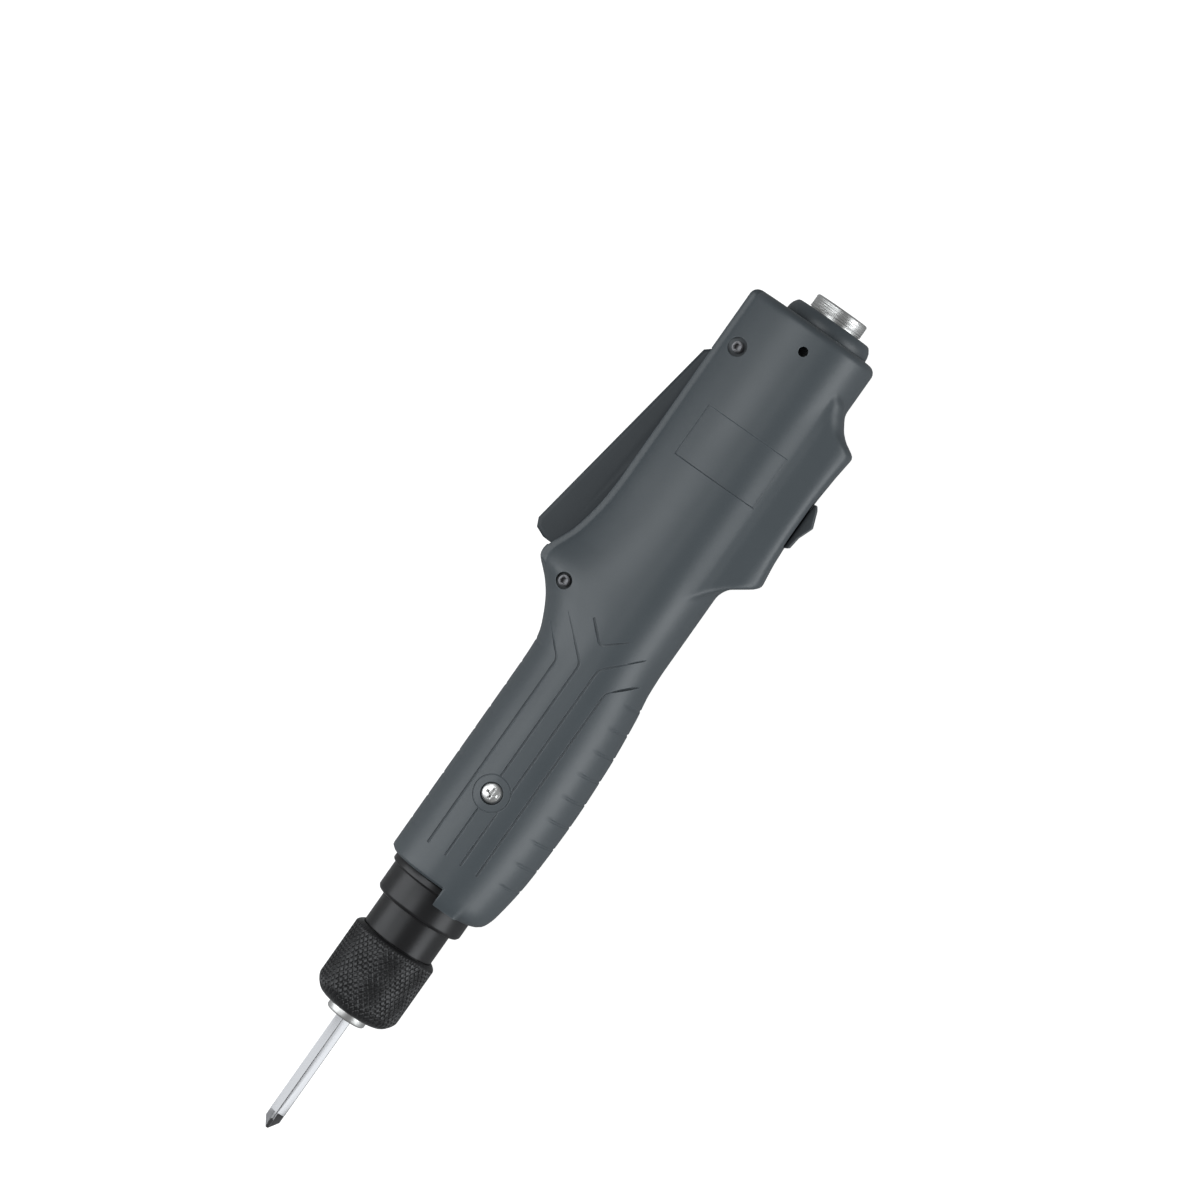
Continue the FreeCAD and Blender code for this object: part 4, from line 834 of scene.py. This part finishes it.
def housing_body(sizes):
    """Outer form of the housing with the label recess pressed into its left side."""
    step = sizes.step / MM
    label_front, label_rear, label_low, label_high = LABEL
    grooves = [SHORT_GROOVE_START + i * sizes.groove_pitch / MM for i in range(sizes.short_grooves)]
    half, flat_half = SHORT_GROOVE_HALF, SHORT_GROOVE_HALF - SHORT_GROOVE_SLOPE
    extra = [TAB_FRONT + d for d in (0.1, 0.25, 0.5)]
    extra += [x + offset for x in grooves for offset in (-half, -flat_half, flat_half, half)]
    extra += [HOUSING_END - d for d in (0.05, 0.2, 0.45, 0.8)]
    extra += [edge + offset for edge in (label_front, label_rear) for offset in (-0.1, 0.1)]
    plain = np.arange(TAB_FRONT, HOUSING_END, step)
    plain = [x for x in plain if min(abs(x - e) for e in extra) > 0.3 * step]
    places = np.array(sorted(plain + extra + [HOUSING_END]))
    angles = list(np.arange(sizes.around) * 2 * math.pi / sizes.around)
    fine = np.radians(np.arange(FINE_FROM, FINE_TO, FINE_STEP))
    fine_low, fine_high = math.radians(FINE_FROM - 0.4), math.radians(FINE_TO)
    angles = [a for a in angles if a > math.pi or not fine_low < min(a, math.pi - a) < fine_high]
    angles += list(fine) + list(math.pi - fine)
    for y in (label_low, label_high):
        edge = math.atan2(y, skin_z(LABEL_SKIN, y)) % (2 * math.pi)
        angles += [edge - 0.006, edge + 0.006]
    angles = np.array(sorted(angles))

    def place(row, column):
        x, angle = places[row], angles[column]
        reach = section_reach(x, angle, 0.0)
        y = reach * np.sin(angle)
        z = reach * np.cos(angle)
        in_label = (x > label_front) & (x < label_rear) & (y > label_low) & (y < label_high) & (z > 0)
        reach = reach - np.where(in_label, sizes.label_depth / MM, 0)
        distance = np.min(np.abs(x[:, None] - np.array(grooves)[None, :]), axis=1)
        across = np.clip((half - distance) / SHORT_GROOVE_SLOPE, 0, 1)
        above = 0.6 * np.clip((y - 12.0) / 1.5, 0, 1)
        below = np.clip((-y - 12.4) / 1.5, 0, 1)
        reach = reach - sizes.short_depth / MM * across * np.maximum(above, below)
        return np.stack([x, reach * np.sin(angle), reach * np.cos(angle)], axis=1)

    return wrapped_grid("housing_body", len(places), len(angles), place)


def housing_hollow(sizes):
    """Inside of the housing, one wall under the skin."""
    wall = sizes.wall / MM
    places = np.arange(FACE_FRONT + 2.4, HOUSING_END - 2.4, 1.6)
    angles = np.arange(96) * 2 * math.pi / 96

    def place(row, column):
        x, angle = places[row], angles[column]
        reach = section_reach(x, angle, wall)
        return np.stack([x, reach * np.sin(angle), reach * np.cos(angle)], axis=1)

    return wrapped_grid("housing_hollow", len(places), len(angles), place)


def groove_bar(points, full_width, full_depth, side, tail=1.0):
    """Cutter for one groove: slanted walls and a floor that follows the skin, thinner along its tail."""
    sections = []
    for i, (x, y) in enumerate(points):
        ahead = points[min(i + 1, len(points) - 1)]
        behind = points[max(i - 1, 0)]
        run = math.hypot(ahead[0] - behind[0], ahead[1] - behind[1])
        nx = -(ahead[1] - behind[1]) / run
        ny = (ahead[0] - behind[0]) / run
        share = np.interp(i / (len(points) - 1), (0.0, 0.55, 1.0), (1.0, 1.0, tail))
        width, depth = full_width * (1 + share) / 2, full_depth * share
        floor = skin_z(x, y) - depth
        low, high = max(width / 2 - 0.35, 0.12), width / 2 + 0.2
        sections.append([
            (x + nx * low, y + ny * low, side * floor), (x - nx * low, y - ny * low, side * floor),
            (x - nx * high, y - ny * high, side * (floor + depth + 2.0)),
            (x + nx * high, y + ny * high, side * (floor + depth + 2.0))])
    return swept("groove_bar", sections)


def bent(points, corner=1.2, steps=4):
    """Path with each inner corner eased by a short curve."""
    path = [points[0]]
    for before, at, after in zip(points, points[1:], points[2:]):
        near = min(corner, 0.4 * math.dist(before, at), 0.4 * math.dist(at, after))
        start = [at[k] + (before[k] - at[k]) * near / math.dist(before, at) for k in (0, 1)]
        end = [at[k] + (after[k] - at[k]) * near / math.dist(after, at) for k in (0, 1)]
        for i in range(steps + 1):
            t = i / steps
            path.append(tuple((1 - t) ** 2 * start[k] + 2 * t * (1 - t) * at[k] + t * t * end[k]
                              for k in (0, 1)))
    return path + [points[-1]]


def pad_arcs():
    """Two overlapping half circles round the grip screw, seen from the side."""
    arcs = []
    for start in (-6, 174):
        turns = [math.radians(start + 192 * i / 32) for i in range(33)]
        arcs.append([(GRIP_SCREW[0] + PAD_RADIUS * math.cos(t), GRIP_SCREW[1] + PAD_RADIUS * math.sin(t))
                     for t in turns])
    return arcs


def groove_lines():
    """Paths of the long grip grooves seen from the side."""
    stops = [47.0, 53.4, 61.0, 69.0, 77.0, 84.6, 92.0, 99.0]
    fan = 104.0
    tails = [
        (7.3, [(fan - 2.2, 7.3), (fan + 1.8, 11.8), (fan + 4.2, 14.6)]),
        (1.9, [(fan, 1.9), (fan + 4.4, 6.8), (fan + 8.6, 11.6)]),
        (-2.6, [(fan + 1.4, -2.6), (fan + 5.6, -6.6), (fan + 9.8, -10.6)]),
        (-7.3, [(fan - 2.2, -7.3), (fan + 3.4, -13.0)]),
    ]
    lines = []
    for y, tail in tails:
        corner = bent([(stops[-1], y)] + tail)
        half = PAD_RADIUS ** 2 - (y - GRIP_SCREW[1]) ** 2
        if half > 0:
            front, rear = GRIP_SCREW[0] - math.sqrt(half), GRIP_SCREW[0] + math.sqrt(half)
            lines.append([(x, y) for x in stops if x < front] + [(front, y)])
            lines.append([(rear, y)] + [(x, y) for x in stops[:-1] if x > rear] + corner)
        else:
            lines.append([(x, y) for x in stops[:-1]] + corner)
    lines.append(bent([(fan + 11.2, 5.6), (fan + 6.4, 0.5), (fan + 11.2, -5.0)]))
    return lines


class MakeHousing(bpy.types.Operator):
    """Moulded housing in two halves with its grooves, recesses, lever slot and openings"""
    bl_idname = "screwdriver.make_housing"
    bl_label = "Housing"

    def execute(self, context):
        sizes = context.scene.screwdriver_housing
        body = housing_body(sizes)
        hollow = housing_hollow(sizes)
        rear_skin = skin_z(*REAR_SCREW)
        posts = [
            rod("front_post", 3.1, -11.6, 11.6, FRONT_SCREW),
            rod("rear_post", 3.4, 2 - rear_skin, rear_skin - 2, REAR_SCREW),
            rod("pivot_post", 2.6, -9.2, 9.2, PIVOT),
            rod("bail_post", 2.7, 9.3, 15.9, BAIL),
            rod("bail_post", 2.7, -15.9, -9.3, BAIL),
            rod("grip_post", 4.2, 12.5, 15.9, GRIP_SCREW),
        ]
        for post in posts:
            combine(hollow, post)
        combine(body, hollow)
        tools = [
            block("notch", (TAB_FRONT - 5, -2.4, -40), (FACE_FRONT, 40, 40)),
            rod("collar_bore", 12.1, TAB_FRONT - 3, FACE_FRONT + 5, around=128),
            rod("step_bore", 13.0, 37.1, FACE_FRONT, around=128),
            block("lever_slot", (122.4, 8.5, -6.9), (185.0, 60, 6.9)),
            rod("pivot_bore", 1.5, -PIN_REACH - 0.3, PIN_REACH + 0.3, PIVOT),
            rod("bail_bore", 1.25, 10.1, 30, BAIL, 48),
            rod("bail_bore", 1.25, -30, -10.1, BAIL, 48),
            rod("rear_bore", 9.6, HOUSING_END - 6, HOUSING_END + 3, around=128),
            block("knob_slot", (154.8, -40, -2.8), (171.5, -16.2, 2.8)),
            rod("front_well", 2.15, 10.2, 30, FRONT_SCREW),
            rod("front_shank", 1.1, -9, 30, FRONT_SCREW, 32),
            rod("rear_well", 2.5, rear_skin - 2.6, 30, REAR_SCREW),
            rod("rear_shank", 1.1, -9, 30, REAR_SCREW, 32),
            rod("grip_well", 2.85, 15.6, 30, GRIP_SCREW),
            rod("grip_shank", 1.3, 12.35, 30, GRIP_SCREW, 32),
        ]
        for tool in tools:
            combine(body, tool)
        width, depth = sizes.groove_width / MM, sizes.groove_depth / MM
        bars = [groove_bar(line, width, depth, side, 0.35) for line in groove_lines() for side in (1, -1)]
        combine(body, joined(bars))
        for arc in pad_arcs():
            combine(body, groove_bar(arc, 0.6, 0.16, 1))
        gap = sizes.seam / MM / 2
        for side, low, high in (("left", gap, 40), ("right", -40, -gap)):
            pick(body)
            bpy.ops.object.duplicate()
            half = named("housing_" + side)
            combine(half, block("half_space", (0, -60, low), (300, 60, high)), "INTERSECT")
            smooth(half, 32)
            seat(half, "housing", "shell_" + side, "housing_plastic")
        bpy.data.objects.remove(body, do_unlink=True)
        return {"FINISHED"}


class MakeNose(bpy.types.Operator):
    """Black nose tube with its chamfered collar and step"""
    bl_idname = "screwdriver.make_nose"
    bl_label = "Nose tube"

    def execute(self, context):
        profile = [
            (8.8, 8.4), (8.8, 9.4), (9.3, 9.85), (29.3, 9.85), (29.35, 11.2), (29.5, 11.5), (30.1, 11.95),
            (30.4, 12.0), (36.9, 12.0), (37.25, 12.15), (37.25, 12.6), (37.5, 12.85), (39.2, 12.85),
            (39.2, 11.7), (46.0, 11.7), (46.0, 9.5), (29.5, 9.5), (29.5, 8.4)]
        tube = turned("nose_barrel", profile, 160)
        smooth(bevel_edges(tube, 0.00012, 30), 35)
        seat(tube, "housing", "nose_tube", "black_anodised")
        return {"FINISHED"}


def zigzag(turns):
    """Straight-sided wave: 1 at each whole turn, 0 half way between."""
    return np.abs(2 * (turns - np.floor(turns)) - 1)


class MakeRing(bpy.types.Operator):
    """Torque ring with its diamond knurl"""
    bl_idname = "screwdriver.make_ring"
    bl_label = "Torque ring"

    def execute(self, context):
        sizes = context.scene.screwdriver_ring
        radius, length = sizes.radius / MM, sizes.length / MM
        count = sizes.knurl_count
        around = count * 10
        pitch = 2 * math.pi * radius / count
        run = pitch / math.tan(sizes.knurl_angle)
        rows = int(round((length - 2.4) / run * 10)) + 1
        places = np.concatenate([
            [0.0, 0.15, 0.45, 0.9, 1.4], np.linspace(1.9, length - 1.0, rows),
            [length - 0.6, length - 0.2, length]])
        outline = smooth_line([
            (0.0, radius - 4.0), (0.3, radius - 2.9), (0.8, radius - 2.05), (1.5, radius - 1.3),
            (2.3, radius - 0.7), (3.1, radius - 0.25), (4.0, radius), (length - 1.3, radius),
            (length - 0.9, radius - 0.12), (length - 0.35, radius - 0.6), (length, radius - 1.1)])
        fade = smooth_line([(0.0, 0.0), (1.0, 0.2), (1.9, 1.0), (length - 1.3, 1.0), (length - 0.7, 0.2),
                            (length, 0.0)])

        def place(row, column):
            x = places[row]
            turn = column / around * count
            depth = np.maximum(zigzag(turn + x / run), zigzag(turn - x / run))
            sunk = np.clip((depth - 0.58) / 0.42, 0, 1) * sizes.knurl_depth / MM * fade(x)
            reach = outline(x) - sunk
            angle = column * 2 * math.pi / around
            return np.stack([x, reach * np.cos(angle), reach * np.sin(angle)], axis=1)

        ring = wrapped_grid("knurled_ring", len(places), around, place, ends=False)
        inside = [(0.0, 6.35), (0.15, 6.2), (9.0, 6.2), (9.0, 8.1), (2.5, 8.1), (2.5, 9.95), (length, 9.95)]
        lined(ring, 0.0, float(outline(0.0)), inside)
        smooth(ring, 24)
        seat(ring, "torque_ring", "torque_ring", "knurled_black")
        return {"FINISHED"}


class MakeBit(bpy.types.Operator):
    """Cross-point bit and the bit holder's sleeve"""
    bl_idname = "screwdriver.make_bit"
    bl_label = "Bit and sleeve"

    def execute(self, context):
        edges = context.scene.screwdriver_edges
        bit = reworked("bit", "cross_bit")
        smooth(bevel_edges(bit, edges.bit, 25), 30)
        seat(bit, "spindle", "bit", "bright_steel")
        profile = [
            (-2.2, 4.4), (-2.2, 4.95), (-2.05, 5.2), (-1.7, 5.4), (6.4, 5.4), (6.4, 4.4), (4.6, 4.4),
            (4.6, 3.56), (1.8, 3.56), (1.8, 4.4)]
        sleeve = turned("bit_collar", profile, 96)
        smooth(bevel_edges(sleeve, 0.0001, 30), 35)
        seat(sleeve, "bit_sleeve", "bit_sleeve", "nickel_plate")
        return {"FINISHED"}


def upright_at_front(a, b):
    """Whether an edge, given its two ends, runs along Z at the lever's upper front."""
    return abs(a.x - b.x) < 0.01 and abs(a.y - b.y) < 0.01 and a.x < 129 and a.y > 24


class MakeControls(bpy.types.Operator):
    """Start lever and direction knob"""
    bl_idname = "screwdriver.make_controls"
    bl_label = "Lever and knob"

    def execute(self, context):
        edges = context.scene.screwdriver_edges
        lever = reworked("lever", "start_lever")
        bevel_chosen(lever, upright_at_front, edges.lever_front)
        smooth(bevel_edges(lever, edges.lever, 28, 3), 32)
        seat(lever, "lever", "lever", "lever_plastic")
        low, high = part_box("lever_pin")
        pin = rod("lever_pivot_pin", (high.x - low.x) / 2 / MM, -PIN_REACH, PIN_REACH, PIVOT, 48)
        smooth(bevel_edges(pin, 0.0002, 40), 35)
        seat(pin, "housing", "lever_pin", "gear_steel")
        knob = reworked("direction_knob", "direction_slide_knob")
        smooth(bevel_edges(knob, edges.knob, 25, 3), 32)
        seat(knob, "direction_knob", "direction_knob", "knob_plastic")
        return {"FINISHED"}


def socket_screw(name, place, top):
    """Small socket screw: bevelled head with a hexagon socket, and its shank."""
    head = rod(name, 1.45, top - 1.8, top, place)
    combine(head, rod("shank", 1.0, -6.6, top - 1.5, place, 32), "UNION")
    combine(head, rod("socket", 0.78, top - 0.9, top + 1, place, 6))
    return smooth(bevel_edges(head, 0.00014, 30, 2), 30)


class MakeScrews(bpy.types.Operator):
    """Two socket screws of the housing and the cross-head screw of the grip"""
    bl_idname = "screwdriver.make_screws"
    bl_label = "Screws"

    def execute(self, context):
        front = socket_screw("front_case_screw", FRONT_SCREW, skin_z(*FRONT_SCREW) - 1.1)
        rear = socket_screw("rear_case_screw", REAR_SCREW, skin_z(*REAR_SCREW) - 1.1)
        for screw in (front, rear):
            seat(screw, "housing", "case_screws", "dark_steel")
        grip = reworked("grip_screw", "grip_cross_screw")
        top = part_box("grip_screw")[1].z / MM
        x, y = GRIP_SCREW
        for reach_x, reach_y in ((1.15, 0.26), (0.26, 1.15)):
            low, high = (x - reach_x, y - reach_y, top - 1.7), (x + reach_x, y + reach_y, top + 1)
            combine(grip, block("cross", low, high))
        smooth(bevel_edges(grip, 0.00006, 30, 2), 30)
        seat(grip, "housing", "grip_screw", "nickel_plate")
        return {"FINISHED"}


class MakeConnector(bpy.types.Operator):
    """Rear boss and the threaded cable connector with its key slot"""
    bl_idname = "screwdriver.make_connector"
    bl_label = "Rear boss and connector"

    def execute(self, context):
        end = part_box("connector_shell")[1].x / MM
        boss_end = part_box("rear_boss")[1].x / MM
        start = HOUSING_END
        boss = turned("rear_collar", [
            (start - 4.0, 7.05), (start - 4.0, 11.2), (start - 2.5, 11.2), (start - 2.5, 9.5),
            (start + 0.05, 9.5), (start + 0.05, 11.7), (start + 1.2, 11.6), (start + 2.2, 11.3),
            (boss_end - 0.6, 10.8), (boss_end - 0.15, 10.4), (boss_end, 10.0), (boss_end, 7.05)], 128)
        smooth(bevel_edges(boss, 0.0001, 40), 35)
        seat(boss, "housing", "rear_boss", "housing_plastic")
        radius, pitch, depth, around = 7.35, 0.6, 0.12, 96
        barrel_start = boss_end + 0.4
        places = np.linspace(barrel_start, end - 0.45, 62)
        fade = smooth_line([
            (barrel_start, 0.0), (barrel_start + 0.3, 1.0), (end - 0.7, 1.0), (end - 0.45, 0.0)])

        def place(row, column):
            x = places[row]
            reach = radius - depth * zigzag(x / pitch + column / around) * fade(x)
            angle = column * 2 * math.pi / around
            return np.stack([x, reach * np.cos(angle), reach * np.sin(angle)], axis=1)

        barrel = wrapped_grid("connector_barrel", len(places), around, place, ends=False)
        lined(barrel, places[-1], radius, [
            (end - 0.1, 7.1), (end, 6.95), (end, 6.15), (start - 8.4, 6.15), (start - 8.4, 8.6),
            (start - 4.0, 8.6), (start - 4.0, 7.0), (barrel_start, 7.0)])
        combine(barrel, block("key_slot", (end - 2.6, 6.5, -0.9), (end + 1, 9, 0.9)))
        smooth(barrel, 30)
        seat(barrel, "housing", "connector_shell", "nickel_plate")
        return {"FINISHED"}


class FinishInside(bpy.types.Operator):
    """Finishes of the CAD nodes that stay as they are, inside and out"""
    bl_idname = "screwdriver.finish_inside"
    bl_label = "Inner pieces"

    def execute(self, context):
        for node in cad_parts.values():
            for held in node.material_slots:
                finish = held.material.name.split(".")[0] if held.material else ""
                if finish in MATERIALS:
                    held.material = MATERIALS[finish]
        return {"FINISHED"}


SENSOR_WIDTH = 36.0
PICTURE_WIDTH = 1200.0
BOX_DISTANCE = 0.95


def placed(spot, right, up, back):
    """Matrix of a camera or lamp at a spot, from its three directions."""
    return Matrix.Translation(spot) @ Matrix((right, up, back)).transposed().to_4x4()


class MakeStage(bpy.types.Operator):
    """Pale floor, soft lights and the camera"""
    bl_idname = "screwdriver.make_stage"
    bl_label = "Stage"

    def execute(self, context):
        scene = context.scene
        stage = scene.screwdriver_stage
        clear_selection()
        bpy.ops.mesh.primitive_plane_add(size=40.0, location=(0.1, 0, CAD_LOW.z - 0.0004))
        floor = context.object
        floor.name = "floor"
        floor_material, tree, shader = blank_material("pale_floor")
        tone = add_node(tree, "ShaderNodeMapRange", [
            ("Value", noise(tree, 40.0, 2.0)), ("To Min", 0.55), ("To Max", 0.65)])
        tree.links.new(tone.outputs[0], shader.inputs["Roughness"])
        shader.inputs["Base Color"].default_value = (0.3, 0.3, 0.3, 1)
        shader.inputs["Emission Color"].default_value = (1, 1, 1, 1)
        sight = add_node(tree, "ShaderNodeLightPath")
        glow = math_node(tree, "MULTIPLY", sight.outputs["Is Camera Ray"], stage.floor_glow)
        tree.links.new(glow, shader.inputs["Emission Strength"])
        floor.data.materials.append(floor_material)

        toward = Vector((math.sin(stage.rear_turn), -math.sin(stage.guard_turn), 0))
        toward.z = math.sqrt(1 - toward.length_squared)
        along = (Vector((1, 0, 0)) - toward * toward.x).normalized()
        across = toward.cross(along)
        right = math.cos(stage.roll) * along - math.sin(stage.roll) * across
        up = math.sin(stage.roll) * along + math.cos(stage.roll) * across
        data = bpy.data.cameras.new("camera")
        data.sensor_width = SENSOR_WIDTH
        data.lens = stage.scale * stage.distance * SENSOR_WIDTH / PICTURE_WIDTH
        data.clip_start, data.clip_end = 0.05, 60.0
        camera = bpy.data.objects.new("camera", data)
        scene.collection.objects.link(camera)
        camera.matrix_world = placed(Vector(stage.target) + toward * stage.distance, right, up, toward)
        scene.camera = camera

        world = bpy.data.worlds.new("studio")
        world.use_nodes = True
        background = world.node_tree.nodes["Background"]
        background.inputs["Color"].default_value = (1, 1, 1, 1)
        sight = add_node(world.node_tree, "ShaderNodeLightPath")
        seen = math_node(world.node_tree, "MULTIPLY", sight.outputs["Is Camera Ray"], stage.floor_glow)
        strength = math_node(world.node_tree, "MAXIMUM", seen, stage.sky)
        world.node_tree.links.new(strength, background.inputs["Strength"])
        scene.world = world
        scene.view_settings.view_transform = "Standard"
        # Each softbox: middle along the tool, angle from the camera's side to the lever's, its reach in
        # angle, its length and how bright its face is.
        boxes = [
            ("upper_softbox", 0.09, 24.0, 15.0, 1.2, 2.9),
            ("nose_softbox", -0.27, 65.0, 23.0, 0.7, 3.0),
            ("lower_softbox", 0.09, -70.0, 18.0, 1.2, 3.9),
        ]
        for name, place_x, angle, reach, length, brightness in boxes:
            light = bpy.data.lights.new(name, "AREA")
            light.shape = "RECTANGLE"
            light.color = (0.95, 0.98, 1.0)
            light.size, light.size_y = length, 2 * BOX_DISTANCE * math.tan(math.radians(reach))
            light.energy = brightness * math.pi * light.size * light.size_y
            lamp = bpy.data.objects.new(name, light)
            scene.collection.objects.link(lamp)
            face = Vector((0, math.sin(math.radians(angle)), math.cos(math.radians(angle))))
            side = Vector((1, 0, 0))
            spot = Vector((place_x, 0, 0)) + BOX_DISTANCE * face
            lamp.matrix_world = placed(spot, side, face.cross(side), face)
        return {"FINISHED"}


class ScrewdriverPanel(bpy.types.Panel):
    """Sizes, finishes and steps of the screwdriver"""
    bl_idname = "VIEW3D_PT_screwdriver"
    bl_label = "Electric torque screwdriver"
    bl_space_type = "VIEW_3D"
    bl_region_type = "UI"
    bl_category = "Screwdriver"

    def draw(self, context):
        scene = context.scene
        for holder in PROPERTY_HOLDERS:
            group = getattr(scene, holder)
            box = self.layout.box()
            for name in group.__annotations__:
                box.prop(group, name)
        for step in STEPS:
            self.layout.operator(step.bl_idname)


STEPS = (MakeHousing, MakeNose, MakeRing, MakeBit, MakeControls, MakeScrews, MakeConnector, FinishInside,
         MakeStage)
PROPERTY_HOLDERS = {
    "screwdriver_housing": HousingSizes,
    "screwdriver_ring": RingSizes,
    "screwdriver_edges": EdgeSizes,
    "screwdriver_finish": FinishColours,
    "screwdriver_stage": StageSettings,
}


def register():
    for holder, group in PROPERTY_HOLDERS.items():
        bpy.utils.register_class(group)
        setattr(bpy.types.Scene, holder, bpy.props.PointerProperty(type=group))
    for step in STEPS:
        bpy.utils.register_class(step)
    bpy.utils.register_class(ScrewdriverPanel)


def unregister():
    bpy.utils.unregister_class(ScrewdriverPanel)
    for step in reversed(STEPS):
        bpy.utils.unregister_class(step)
    for holder, group in PROPERTY_HOLDERS.items():
        delattr(bpy.types.Scene, holder)
        bpy.utils.unregister_class(group)


def main():
    register()
    make_materials()
    for step in STEPS:
        area, name = step.bl_idname.split(".")
        getattr(getattr(bpy.ops, area), name)()


if __name__ == "__main__":
    main()
